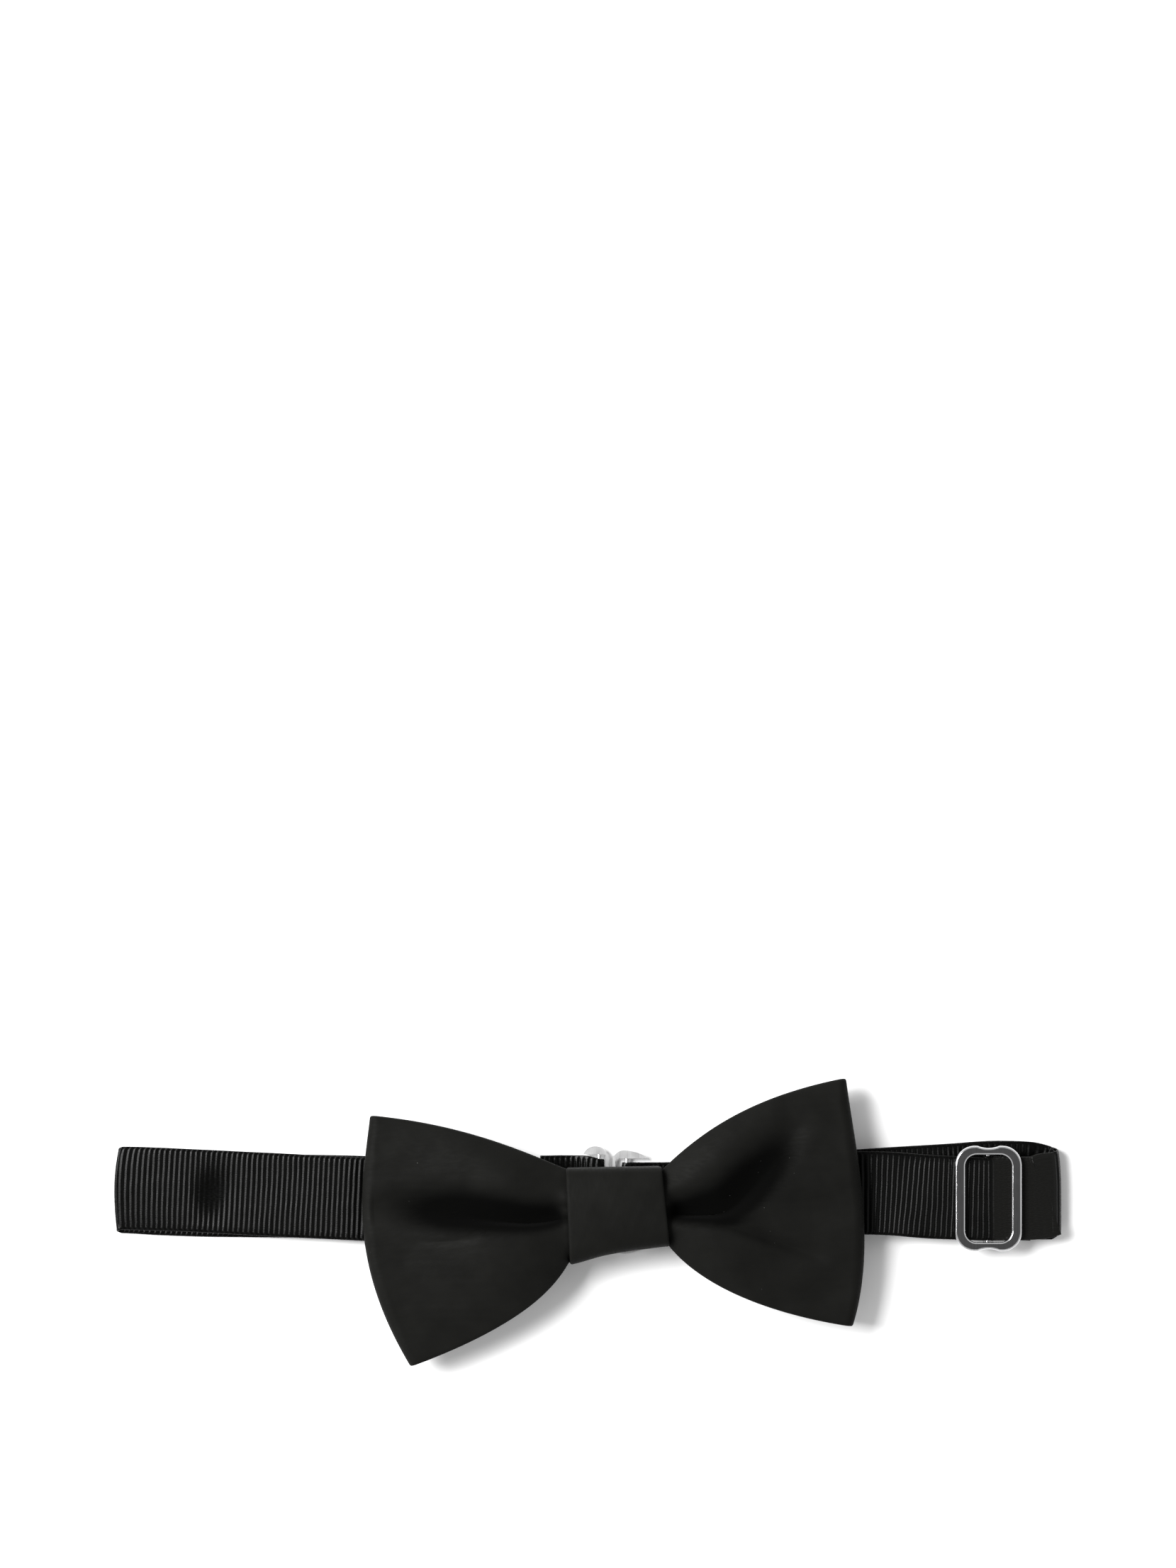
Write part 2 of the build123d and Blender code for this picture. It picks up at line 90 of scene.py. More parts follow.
# ---- cloth sizes ------------------------------
STRAP_WIDTH = 19.0
STRAP_THICKNESS = 0.6
PLY = STRAP_THICKNESS / 2
HALF_WIDTH = STRAP_WIDTH / 2
SECOND_PLY = 3 * PLY + 0.05
RIB_PITCH = 1.17
RIB_STEPS = 7
RIB_DEPTH = 0.17
SELVEDGE = 0.75
LOOP_RADIUS = HOOK_BAR[2] - PLY
LINE_STEP = 0.05            # step of the dense lines that ribbons follow
TURN_POINTS = 80
STRIP_THICKNESS = 1.1
SILK = 0.28
STIFFENING = 0.4
KNOT_THICKNESS = 0.95
KNOT_WIDTH = 22.0
KNOT_ROUND = 60.0           # length of the band once round, for its weave
KNOT_TOP = 12.75
KNOT_X = (KNOT_LOW[0] + KNOT_HIGH[0]) / 2
SLIDER_X = (SLIDER_LOW[0] + SLIDER_HIGH[0]) / 2
SLIDER_Y = (SLIDER_LOW[1] + SLIDER_HIGH[1]) / 2
STRAP_TOP_Z = node_box("strap_front")[1][2] - PLY
KNOT_STRAP_Y = 3.55         # middle of the strap's front run inside the knot
LEFT_FOLD_Y = (7.5, 6.65)   # middle of the strap above and below each fold
RIGHT_FOLD_Y = (6.3, 7.5)
HOOK_Y = 5.4                # middle of the end sewn round the hook's bar
END_Y = 3.85                # middle of the end sewn round the eye's bar
FEED_END_X = 104.5          # where the run to the slider takes over from the strap's folded end
# Colour painted into the cloth as shade, deep in folds and dents.
PAINTED_SHADE_BLACK = (0.0008, 0.0008, 0.0007)
# Paler colour painted on the strap where it is pressed smooth, as its sheen.
PAINTED_SHEEN_GREY = (0.0062, 0.0062, 0.0057)


# ---- curves and soft noise --------------------
def bezier(points, t):
    """Cubic curve in plan through four control points at the values t."""
    a, b, c, d = [np.array(p, float) for p in points]
    t = np.asarray(t, float)[..., None]
    return (1 - t) ** 3 * a + 3 * (1 - t) ** 2 * t * b + 3 * (1 - t) * t ** 2 * c + t ** 3 * d


def smooth_step(low, high, value):
    """0 below low, 1 above high, and a soft rise between."""
    t = np.clip((value - low) / (high - low), 0, 1)
    return t * t * (3 - 2 * t)


def unit(vectors):
    """The vectors at length 1."""
    return vectors / np.linalg.norm(vectors, axis=-1, keepdims=True)


def rounded(distance, width, thin):
    """Share of full thickness at a distance from an edge: thin there, and full past the width."""
    inside = np.clip(distance / width, 0, 1)
    return thin + (1 - thin) * np.sqrt(1 - (1 - inside) ** 2)


def ripple(a, b, seed):
    """Smooth noise of two coordinates, about -1 to 1, from a few sines with seeded directions."""
    rng = np.random.default_rng(seed)
    total = 0
    for octave in range(4):
        scale = 1.7 ** octave
        angle, shift, lean = rng.uniform(0, 2 * math.pi, 3)
        wave = np.sin(scale * (a * math.cos(angle) + b * math.sin(angle)) + shift)
        cross = np.sin(scale * 0.7 * (b * math.cos(angle) - a * math.sin(angle)) + lean)
        total = total + wave * cross / 1.3 ** octave
    return total / 2.2


def eased(xs, points, column=1):
    """Value of one column of the points at xs, with smooth rises and falls between them."""
    points = sorted(points)
    px = np.array([p[0] for p in points], float)
    pv = np.array([p[column] for p in points], float)
    secants = np.diff(pv) / np.diff(px)
    slopes = np.gradient(pv, px)
    limit = 3 * np.minimum(np.abs(secants[:-1]), np.abs(secants[1:]))
    same_way = secants[:-1] * secants[1:] > 0
    slopes[1:-1] = np.where(same_way, np.clip(slopes[1:-1], -limit, limit), 0)
    slopes[0] = slopes[-1] = 0
    i = np.clip(np.searchsorted(px, xs) - 1, 0, len(px) - 2)
    h = px[i + 1] - px[i]
    t = np.clip((xs - px[i]) / h, 0, 1)
    first = (2 * t ** 3 - 3 * t ** 2 + 1) * pv[i] + (t ** 3 - 2 * t ** 2 + t) * h * slopes[i]
    return first + (3 * t ** 2 - 2 * t ** 3) * pv[i + 1] + (t ** 3 - t ** 2) * h * slopes[i + 1]


def run(points):
    """Dense line through points (x, y, z), eased between them; the last column is its slope in plan."""
    start, end = points[0][0], points[-1][0]
    xs = np.linspace(start, end, max(int(abs(end - start) / LINE_STEP), 2))
    ys = eased(xs, points, 1)
    return np.column_stack([xs, ys, eased(xs, points, 2), np.gradient(ys, xs)])


def turn(centre, radius, first, last, y_first, y_last):
    """Dense arc in the plane of X and Z between two angles in degrees."""
    angles = np.radians(np.linspace(first, last, TURN_POINTS))
    xs = centre[0] + radius * np.cos(angles)
    zs = centre[2] + radius * np.sin(angles)
    ys = np.linspace(y_first, y_last, len(angles))
    return np.column_stack([xs, ys, zs, np.zeros(len(angles))])


def joined(stretches):
    """The stretches as one line with no doubled points."""
    line = np.concatenate(stretches)
    gaps = np.linalg.norm(np.diff(line[:, :3], axis=0), axis=1)
    return line[np.concatenate([[True], gaps > 1e-6])]


# ---- meshes -----------------------------------
def quad_faces(rows, columns, close_rows, close_columns):
    """Quads of a grid whose rows or columns may join up end to end."""
    row = np.arange(rows if close_rows else rows - 1)
    column = np.arange(columns if close_columns else columns - 1)
    r, c = np.meshgrid(row, column, indexing="ij")
    r2, c2 = (r + 1) % rows, (c + 1) % columns
    quads = np.stack([r * columns + c, r * columns + c2, r2 * columns + c2, r2 * columns + c], -1)
    return quads.reshape(-1, 4).tolist()


def outward(points, faces, hollow=False):
    """The faces of one closed shell, all facing out, or in for the wall of a hollow."""
    quads = np.array([face for face in faces if len(face) == 4])
    a, b, c, d = [points[quads[:, k]] for k in range(4)]
    volume = np.einsum("ij,ij->i", a, np.cross(b, c) + np.cross(c, d)).sum()
    if (volume < 0) != hollow:
        return [face[::-1] for face in faces]
    return faces


def make_object(name, points, faces, weave=None):
    """Smooth mesh object from millimetre points; weave is a place on the flat cloth, per point."""
    mesh = bpy.data.meshes.new(name)
    mesh.from_pydata((np.asarray(points) * MM).tolist(), [], faces)
    mesh.polygons.foreach_set("use_smooth", [True] * len(mesh.polygons))
    if weave is not None:
        attribute = mesh.attributes.new("weave", "FLOAT_VECTOR", "POINT")
        attribute.data.foreach_set("vector", (np.asarray(weave) * MM).astype(np.float32).ravel())
    mesh.update()
    obj = bpy.data.objects.new(name, mesh)
    bpy.context.scene.collection.objects.link(obj)
    return obj


def shell(middle, half, flat, up, closed, hollow=False):
    """Points, faces and weave of a closed shell round a mid-surface grid."""
    top = middle + up * half[..., None]
    under = middle - up * half[..., None]
    ring = np.concatenate([top, under[:, ::-1]], 1)
    weave = np.concatenate([flat, flat[:, ::-1]], 1).reshape(-1, 3)
    rows, columns = ring.shape[:2]
    faces = quad_faces(rows, columns, closed, True)
    if not closed:
        faces.append(list(range(columns)))
        faces.append([(rows - 1) * columns + c for c in range(columns - 1, -1, -1)])
    points = ring.reshape(-1, 3)
    return points, outward(points, faces, hollow), weave


def surface_normals(middle, closed):
    """Normals of a mid-surface grid."""
    if closed:
        ahead = np.roll(middle, -1, 0) - np.roll(middle, 1, 0)
    else:
        ahead = np.gradient(middle, axis=0)
    return unit(np.cross(ahead, np.gradient(middle, axis=1)))


def place_on_cloth(across, along, shade=0.0):
    """Flat coordinates of the cloth for its weave, and how far a place lies in a closed fold, which sets the
    painted shade there.
    """
    return np.stack([along, across, np.zeros_like(along) + shade], -1)


UNLIKE_ANY_THREAD = (0.31, 0.17, 0.93)     # a direction that no thread runs in


def thread_object(name, lines, radius):
    """Round threads along lines of points, each closed at its ends."""
    sides = 6
    points, faces, base = [], [], 0
    for line in lines:
        line = np.asarray(line, float)
        ahead = unit(np.gradient(line, axis=0))
        side = unit(np.cross(ahead, UNLIKE_ANY_THREAD))
        other = np.cross(ahead, side)
        angles = np.linspace(0, 2 * math.pi, sides, endpoint=False)
        spokes = [math.cos(a) * side + math.sin(a) * other for a in angles]
        ring = np.stack([line + radius * spoke for spoke in spokes], 1)
        rows = len(line)
        tube = quad_faces(rows, sides, False, True)
        tube.append(list(range(sides)))
        tube.append([(rows - 1) * sides + v for v in range(sides - 1, -1, -1)])
        tube = outward(ring.reshape(-1, 3), tube)
        faces += [[base + v for v in face] for face in tube]
        points.append(ring.reshape(-1, 3))
        base += rows * sides
    return make_object(name, np.concatenate(points), faces)


# ---- materials --------------------------------
class Nodes:
    """Short way to write a node material."""

    def __init__(self, name):
        self.material = bpy.data.materials.new(name)
        self.material.use_nodes = True
        self.tree = self.material.node_tree
        self.shader = self.tree.nodes["Principled BSDF"]

    def add(self, kind):
        return self.tree.nodes.new("ShaderNode" + kind)

    def link(self, source, target):
        self.tree.links.new(source, target)

    def put(self, **values):
        for key, value in values.items():
            self.shader.inputs[key.replace("_", " ")].default_value = value

    def math(self, operation, a, b=0.0, c=0.0):
        node = self.add("Math")
        node.operation = operation
        for socket, value in zip(node.inputs, (a, b, c)):
            if isinstance(value, (int, float)):
                socket.default_value = value
            else:
                self.link(value, socket)
        return node.outputs[0]

    def cloth_place(self):
        node = self.add("Attribute")
        node.attribute_name = "weave"
        return node.outputs["Vector"]

    def fold_shade(self, place):
        """Painted shade: 1 deep in a fold or dent, 0 on the open cloth, and -1 for a painted sheen where the
        cloth is pressed smooth.
        """
        split = self.add("SeparateXYZ")
        self.link(place, split.inputs[0])
        return self.math("MULTIPLY", split.outputs[2], 1 / MM)

    def toward(self, colour, other, amount):
        """The colour, going to the other one as amount goes from 0 to 1."""
        mix = self.add("Mix")
        mix.data_type = "RGBA"
        self.link(amount, mix.inputs["Factor"])
        self.link(colour, mix.inputs["A"])
        mix.inputs["B"].default_value = (*other, 1)
        return mix.outputs["Result"]

    def object_place(self):
        return self.add("TexCoord").outputs["Object"]

    def waves(self, place, axis, pitch):
        """Sine of one coordinate, 0 to 1, with this pitch in metres."""
        split = self.add("SeparateXYZ")
        self.link(place, split.inputs[0])
        angle = self.math("MULTIPLY", split.outputs[axis], 2 * math.pi / pitch)
        return self.math("MULTIPLY_ADD", self.math("SINE", angle), 0.5, 0.5)

    def noise(self, place, scale, detail=3.0):
        node = self.add("TexNoise")
        node.inputs["Scale"].default_value = scale
        node.inputs["Detail"].default_value = detail
        self.link(place, node.inputs["Vector"])
        return node.outputs[0]

    def stretched(self, place, scale):
        node = self.add("Mapping")
        node.inputs["Scale"].default_value = scale
        self.link(place, node.inputs["Vector"])
        return node.outputs[0]

    def ramp(self, value, low, high, dark, light):
        """Colours between dark and light as value goes from low to high."""
        node = self.add("ValToRGB")
        first, last = node.color_ramp.elements
        first.position, last.position = low, high
        first.color, last.color = (*dark, 1), (*light, 1)
        self.link(value, node.inputs[0])
        return node.outputs[0]

    def rough(self, value, low, high, more=0.0):
        """Roughness between two values as value goes from 0.3 to 0.7, and more on top."""
        node = self.add("MapRange")
        for key, number in zip(("From Min", "From Max", "To Min", "To Max"), (0.3, 0.7, low, high)):
            node.inputs[key].default_value = number
        self.link(value, node.inputs["Value"])
        self.link(self.math("ADD", node.outputs[0], more), self.shader.inputs["Roughness"])

    def colour(self, socket):
        self.link(socket, self.shader.inputs["Base Color"])

    def relief(self, height, strength, distance):
        node = self.add("Bump")
        node.inputs["Strength"].default_value = strength
        node.inputs["Distance"].default_value = distance
        self.link(height, node.inputs["Height"])
        self.link(node.outputs[0], self.shader.inputs["Normal"])


def silk_material():
    """Black silk: a fine weave with slubs, a dull sheen, a little lint, and painted shade deep in its folds.
    """
    n = Nodes("bow_silk")
    place = n.cloth_place()
    warp_pitch, weft_pitch = 0.00023, 0.00019
    cloth = n.math("MULTIPLY", n.waves(place, 0, warp_pitch), n.waves(place, 1, weft_pitch))
    slub = n.noise(n.stretched(place, (500.0, 1600.0, 1.0)), 1.0)
    n.relief(n.math("MULTIPLY_ADD", cloth, 0.3, slub), 0.28, 0.00006)
    tone = n.noise(place, 120.0, 5.0)
    shade = n.math("MULTIPLY_ADD", cloth, 0.2, n.math("MULTIPLY", tone, 0.8))
    base = n.ramp(shade, 0.25, 0.72, (0.0040, 0.0040, 0.0035), (0.0072, 0.0072, 0.0064))
    lint = n.ramp(n.noise(place, 1500.0, 1.0), 0.825, 0.855, (0.0, 0.0, 0.0), (0.10, 0.10, 0.095))
    linty = n.add("Mix")
    linty.data_type = "RGBA"
    linty.blend_type = "ADD"
    linty.inputs["Factor"].default_value = 1.0
    # Painted shade: the silk's colour darkens deep in its folds.
    painted_fold_shade = n.fold_shade(place)
    n.link(n.toward(base, PAINTED_SHADE_BLACK, painted_fold_shade), linty.inputs["A"])
    n.link(lint, linty.inputs["B"])
    n.colour(linty.outputs["Result"])
    n.rough(slub, 0.55, 0.70, n.math("MULTIPLY", painted_fold_shade, 0.4))
    n.put(Specular_IOR_Level=0.05, Sheen_Weight=0.004, Sheen_Roughness=0.5)
    return n.material


def grosgrain_material():
    """Black ribbon: fine warp threads that lie over the ribs, glossier on the crests, with painted shade in
    a dent and a painted sheen where pressed smooth.
    """
    n = Nodes("grosgrain")
    place = n.cloth_place()
    warp_pitch = 0.00026
    warp = n.waves(place, 1, warp_pitch)
    ply = n.noise(n.stretched(place, (1400.0, 3600.0, 1.0)), 1.0, 2.0)
    n.relief(n.math("MULTIPLY_ADD", warp, 0.22, ply), 0.16, 0.00005)
    tone = n.noise(place, 260.0, 4.0)
    base = n.ramp(tone, 0.3, 0.75, (0.0007, 0.0007, 0.0006), (0.0018, 0.0018, 0.0017))
    # Painted shade in the dent, and a paler painted sheen where the cloth is pressed smooth.
    shade = n.fold_shade(place)
    with_painted_shade = n.toward(base, PAINTED_SHADE_BLACK, shade)
    n.colour(n.toward(with_painted_shade, PAINTED_SHEEN_GREY, n.math("MULTIPLY", shade, -1.0)))
    n.rough(ply, 0.20, 0.34)
    n.put(Specular_IOR_Level=0.11)
    return n.material


def thread_material():
    """Black sewing thread, twisted, a little shiny."""
    n = Nodes("thread")
    place = n.object_place()
    twist = n.noise(place, 5000.0, 2.0)
    n.relief(twist, 0.5, 0.00005)
    n.colour(n.ramp(twist, 0.3, 0.7, (0.006,) * 3, (0.02,) * 3))
    n.rough(twist, 0.35, 0.6)
    return n.material


def stiffening_material():
    """White woven interfacing."""
    n = Nodes("interfacing")
    place = n.object_place()
    pitch = 0.0007
    cloth = n.math("MULTIPLY", n.waves(place, 0, pitch), n.waves(place, 1, pitch))
    fibre = n.noise(place, 1500.0)
    n.relief(n.math("ADD", cloth, fibre), 0.6, 0.0001)
    n.colour(n.ramp(fibre, 0.3, 0.8, (0.46, 0.46, 0.42), (0.68, 0.67, 0.63)))
    n.rough(fibre, 0.82, 0.95)
    return n.material


def metal_material(name, colour, roughness, wear):
    """Plated metal with polishing marks and slightly uneven gloss."""
    n = Nodes(name)
    place = n.object_place()
    marks = n.noise(n.stretched(place, (5200.0, 240.0, 5200.0)), 1.0, 4.0)
    blotch = n.noise(place, 420.0)
    n.relief(n.math("MULTIPLY_ADD", blotch, 0.6, marks), wear, 0.00002)
    n.rough(blotch, roughness, roughness + 0.08)
    darker = tuple(c * 0.82 for c in colour)
    n.colour(n.ramp(marks, 0.25, 0.7, darker, colour))
    n.put(Metallic=1.0)
    return n.material


def dress(obj, material, body=None):
    """Material and body of a piece."""
    obj.data.materials.append(material)
    if body:
        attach(obj, body)


# ---- the strap --------------------------------
def ribbon_columns():
    """Places across the ribbon, closer together along its woven edges."""
    inner = np.linspace(-HALF_WIDTH + SELVEDGE, HALF_WIDTH - SELVEDGE, 19)
    edge = HALF_WIDTH - SELVEDGE * np.array([0.0, 0.06, 0.22, 0.5, 0.78])
    return np.concatenate([-edge, inner, edge[::-1]])


def rib_profile(row, col, depth, seed):
    """Half thickness of the ribbon: wavy ribs between two beaded woven edges."""
    wobble = 0.30 * ripple(row * 0.13, col * 0.30, seed) + 0.10 * ripple(row * 0.9, col * 1.1, seed + 1)
    rib = 0.5 - 0.5 * np.cos(2 * math.pi * row / RIB_PITCH + 2 * wobble)
    rib = rib * (0.88 + 0.12 * ripple(row * 2.3, col * 2.6, seed + 2))
    to_edge = HALF_WIDTH - np.abs(col)
    body = smooth_step(0.45, SELVEDGE, to_edge)
    ribbed = PLY - RIB_DEPTH + RIB_DEPTH * (rib * depth + (1 - depth) * 0.8)
    bead = 0.20 + 0.03 * np.sin(2 * math.pi * row / RIB_PITCH + wobble)
    half = body * ribbed + (1 - body) * bead
    to_end = np.minimum(row, row.max() - row)
    return half * rounded(to_edge, 0.2, 0.12) * rounded(to_end, 0.35, 0.12)


def no_shift(x, w, z):
    return np.zeros(x.shape + (3,))


def full_width(x, z):
    return np.full_like(x, STRAP_WIDTH)


def even_ribs(x, w, z):
    return np.ones_like(x)


def open_cloth(x, w, z):
    return np.zeros_like(x)


def ribbon_object(name, line, seed, width_at=full_width, shift_at=no_shift, rib_at=even_ribs,
                  shade_at=open_cloth):
    """Ribbed ribbon along a line in X and Z whose width lies across.

    width_at, shift_at, rib_at and shade_at give the width, a move, the depth of the ribs and the
    shade at a place. x and z are the place on the line, and w is how far it lies to the side.
    """
    steps = np.linalg.norm(np.diff(line[:, :3], axis=0), axis=1)
    lengths = np.concatenate([[0], np.cumsum(steps)])
    count = int(round(lengths[-1] * RIB_STEPS / RIB_PITCH)) + 1
    along = np.linspace(0, lengths[-1], count)
    spine = np.column_stack([np.interp(along, lengths, line[:, k]) for k in range(3)])
    slope = np.interp(along, lengths, line[:, 3])
    ahead = np.gradient(spine, axis=0)
    out = unit(np.column_stack([ahead[:, 2], np.zeros(count), -ahead[:, 0]]))
    side = unit(np.column_stack([-slope, np.ones(count), np.zeros(count)]))
    w = ribbon_columns()
    row, col = np.meshgrid(along, w, indexing="ij")
    x_row = np.repeat(spine[:, :1], len(w), 1)
    z_row = np.repeat(spine[:, 2:], len(w), 1)
    half = rib_profile(row, col, rib_at(x_row, col, z_row), seed)
    width = width_at(x_row, z_row) / STRAP_WIDTH
    wander = 0.10 * ripple(row * 0.07, np.sign(col) * 2.0, seed + 3) * np.abs(col) / HALF_WIDTH
    middle = spine[:, None] + side[:, None] * (col * width + wander)[..., None]
    middle = middle + shift_at(x_row, col, z_row)
    up = np.repeat(out[:, None], len(w), 1)
    shade = shade_at(x_row, col, z_row)
    obj = make_object(name, *shell(middle, half, place_on_cloth(col, row, shade), up, False))
    return obj, lengths[-1]


def front_width(x, z):
    """The front run is squeezed where the knot band holds it."""
    narrower, near, far = 4.8, 18.0, 29.0
    high = smooth_step(4.6, 5.4, z)
    squeezed = 1 - smooth_step(near, far, np.abs(x - KNOT_X))
    return STRAP_WIDTH - narrower * squeezed * high


def left_dent_and_painted_shade(x, w, z):
    """Soft dent pressed into the front run near the left fold, 1 in its middle; the same mask paints shade
    into the strap's colour there.
    """
    centre_x, centre_w, length, width = -85.7, -0.2, 4.0, 5.8
    away = ((x - centre_x) / length) ** 2 + ((w - centre_w) / width) ** 2
    return np.exp(-away ** 1.2) * (z > 1.6)


def left_shift(x, w, z):
    """The left fold bows outwards between its corners."""
    move = no_shift(x, w, z)
    near = np.exp(-np.clip(x - LEFT_HINGE[0], 0, None) / 7.0)
    level = w / HALF_WIDTH
    move[..., 0] = near * (1.05 * np.clip(level, 0, 1) ** 2 + 0.6 * np.clip(-level, 0, 1) ** 2 - 0.75)
    dent_depth, corner_round = 0.35, 0.8
    move[..., 2] = -dent_depth * left_dent_and_painted_shade(x, w, z)
    on_loop = smooth_step(-1.5, 3.4, x) * (z < 3)
    move[..., 1] = -corner_round * on_loop * level ** 7
    return move


def right_shift(x, w, z):
    """The right fold draws in towards its upper corner."""
    move = no_shift(x, w, z)
    near = np.exp(-np.clip(RIGHT_HINGE[0] - x, 0, None) / 5.0)
    level = w / HALF_WIDTH
    move[..., 0] = -near * (0.2 + 0.6 * np.clip(level, 0, 1) ** 2)
    return move


def left_ribs(x, w, z):
    """The ribs are crushed flat in the dent."""
    return 1 - left_dent_and_painted_shade(x, w, z)


def pressed(x, w, z):
    """1 where the front run is pressed smooth, past the slider's middle bar."""
    return smooth_step(91.3, 92.6, x) * (z > RIGHT_HINGE[2] + 1.7)


def right_ribs(x, w, z):
    return 1 - 0.9 * pressed(x, w, z)


# Painted sheen: the pressed smooth part of the front run takes a paler colour.
def right_painted_sheen(x, w, z):
    return -pressed(x, w, z)


def blend_across(obj):
    """Bakes the piece's placement into its mesh."""
    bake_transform(obj)


def left_strap(material):
    """Front run from the knot, left fold, lower run, and the end sewn round the hook's bar."""
    fold_x, top = LEFT_HINGE[0], 2 * LEFT_HINGE[2] - PLY
    bar_top = HOOK_BAR[2] + LOOP_RADIUS
    front = [
        (KNOT_X, KNOT_STRAP_Y, STRAP_TOP_Z), (-10.0, 3.6, STRAP_TOP_Z), (-18.0, 3.9, STRAP_TOP_Z - 0.6),
        (-51.0, 5.05, 3.05), (-80.0, 6.5, 2.43), (-98.0, 7.3, 2.07), (fold_x, LEFT_FOLD_Y[0], top),
    ]
    plan = [(fold_x, LEFT_FOLD_Y[1]), (-98.0, 6.2), (-60.0, 5.5), (-20.0, 4.5), (-11.0, 4.4),
            (HOOK_BAR[0], HOOK_Y)]
    lower = [(x, y, PLY) for x, y in plan]
    tab = [
        (HOOK_BAR[0], HOOK_Y, bar_top), (0.4, 5.45, bar_top - 0.15), (-3.8, 5.5, SECOND_PLY + 0.08),
        (-5.6, 5.5, SECOND_PLY), (-11.2, 5.4, SECOND_PLY),
    ]
    line = joined([
        run(front),
        turn(LEFT_HINGE, LEFT_HINGE[2] - PLY, 90, 270, *LEFT_FOLD_Y),
        run(lower),
        turn(HOOK_BAR, LOOP_RADIUS, -90, 90, HOOK_Y, HOOK_Y),
        run(tab),
    ])
    # The dent's mask also darkens the strap's colour: painted shade.
    strap, length = ribbon_object("strap_left", line, 11, front_width, left_shift, left_ribs, left_dent_and_painted_shade)
    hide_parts("strap_front", "strap_left_fold", "strap_left_tail", "strap_hook_loop")
    dress(strap, material)
    blend_across(strap)


def right_strap(material):
    """Front run, right fold, lower run, turn round the eye's bar, and the run back inside."""
    front_z = 2 * RIGHT_HINGE[2] - PLY
    bar_top = EYE_BAR[2] + LOOP_RADIUS
    fold_x = RIGHT_HINGE[0]
    return_z = (RETURN_LOW[2] + RETURN_HIGH[2]) / 2
    return_radius = return_z - RIGHT_HINGE[2]
    front = [
        (KNOT_X, KNOT_STRAP_Y, STRAP_TOP_Z), (22.0, 3.8, STRAP_TOP_Z), (34.0, 4.6, STRAP_TOP_Z - 0.5),
        (63.0, 6.6, front_z), (69.0, 6.4, front_z), (77.5, 5.7, front_z), (83.0, 5.45, front_z),
        (91.0, 5.2, front_z), (98.0, 5.3, front_z), (103.0, 5.6, front_z),
        (fold_x, RIGHT_FOLD_Y[0], front_z),
    ]
    plan = [(fold_x, RIGHT_FOLD_Y[1]), (100.0, 8.6), (94.0, 8.75), (83.0, 8.15), (69.0, 7.3), (15.0, END_Y)]
    tail = [(x, y, PLY) for x, y in plan] + [(EYE_BAR[0], END_Y, PLY)]
    back = [(EYE_BAR[0], END_Y, bar_top), (10.5, END_Y, bar_top - 0.2),
            (14.5, END_Y, SECOND_PLY + 0.05)]
    back += [(x, y, SECOND_PLY) for x, y in plan[-2::-1]]
    line = joined([
        run(front),
        turn(RIGHT_HINGE, RIGHT_HINGE[2] - PLY, 90, -90, *RIGHT_FOLD_Y),
        run(tail),
        turn(EYE_BAR, LOOP_RADIUS, 270, 90, END_Y, END_Y),
        run(back),
        turn(RIGHT_HINGE, return_radius, -90, 90, RIGHT_FOLD_Y[1], SLIDER_Y),
        run([(fold_x, SLIDER_Y, return_z), (FEED_END_X, SLIDER_Y, return_z)]),
    ])
    strap, length = ribbon_object("strap_right", line, 29, front_width, right_shift, right_ribs,
                                  right_painted_sheen)
    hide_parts("strap_right_fold", "strap_right_tail", "strap_eye_loop")
    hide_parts("strap_return_tail", "strap_return_fold")
    dress(strap, material)
    blend_across(strap)


def slider_end(material):
    """Run back under the front to the slider, and the end sewn round its middle bar."""
    upper = (RETURN_LOW[2] + RETURN_HIGH[2]) / 2
    radius = (SLIDER_LOOP_HIGH[2] - SLIDER_LOOP_LOW[2]) / 2 - PLY
    bar = (SLIDER_X, SLIDER_Y, SLIDER_LOOP_HIGH[2] - PLY - radius)
    stub_x, far_x = RETURN_LOW[0], FEED_END_X
    route = [(stub_x, SLIDER_Y, upper), (far_x, SLIDER_Y, upper)]
    feed, length = ribbon_object("strap_slider_run", run(route), 43)
    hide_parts("strap_return_run")
    dress(feed, material)
    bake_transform(feed)
    low, flat = bar[2] - radius, upper - 2 * PLY - 0.05
    tab = [
        (SLIDER_X, SLIDER_Y, low), (SLIDER_X + 0.8, SLIDER_Y, low + 0.1),
        (stub_x, SLIDER_Y, flat - 0.05), (stub_x + 1, SLIDER_Y, flat),
        (SLIDER_LOOP_HIGH[0], SLIDER_Y - 0.2, flat),
    ]
    line = joined([
        run([(stub_x, SLIDER_Y, upper), (SLIDER_X, SLIDER_Y, upper)]),
        turn(bar, radius, 90, 270, SLIDER_Y, SLIDER_Y),
        run(tab),
    ])
    loop, length = ribbon_object("strap_slider_end", line, 47)
    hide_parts("strap_slider_loop")
    dress(loop, material, "slider")


# ---- the bow ----------------------------------
# Plan of each wing: long top edge, long bottom edge, and the folded end from top to bottom.
LEFT_WING = {
    "top": ((-5.7, 12.4), (-17, 17.2), (-30, 22.5), (-49.8, 24.4)),
    "bottom": ((-4.9, -8.9), (-9, -17), (-20, -25), (-40.6, -32.6)),
    "end": ((-49.8, 24.4), (-51.6, 8), (-55.2, -8), (-40.6, -32.6)),
}
RIGHT_WING = {
    "top": ((16.8, 12.2), (26, 21.5), (38, 29), (58.3, 32.9)),
    "bottom": ((18.1, -4.8), (23, -11.5), (36, -20), (59.8, -23.5)),
    "end": ((58.3, 32.9), (60, 18), (65.8, -4), (59.8, -23.5)),
}
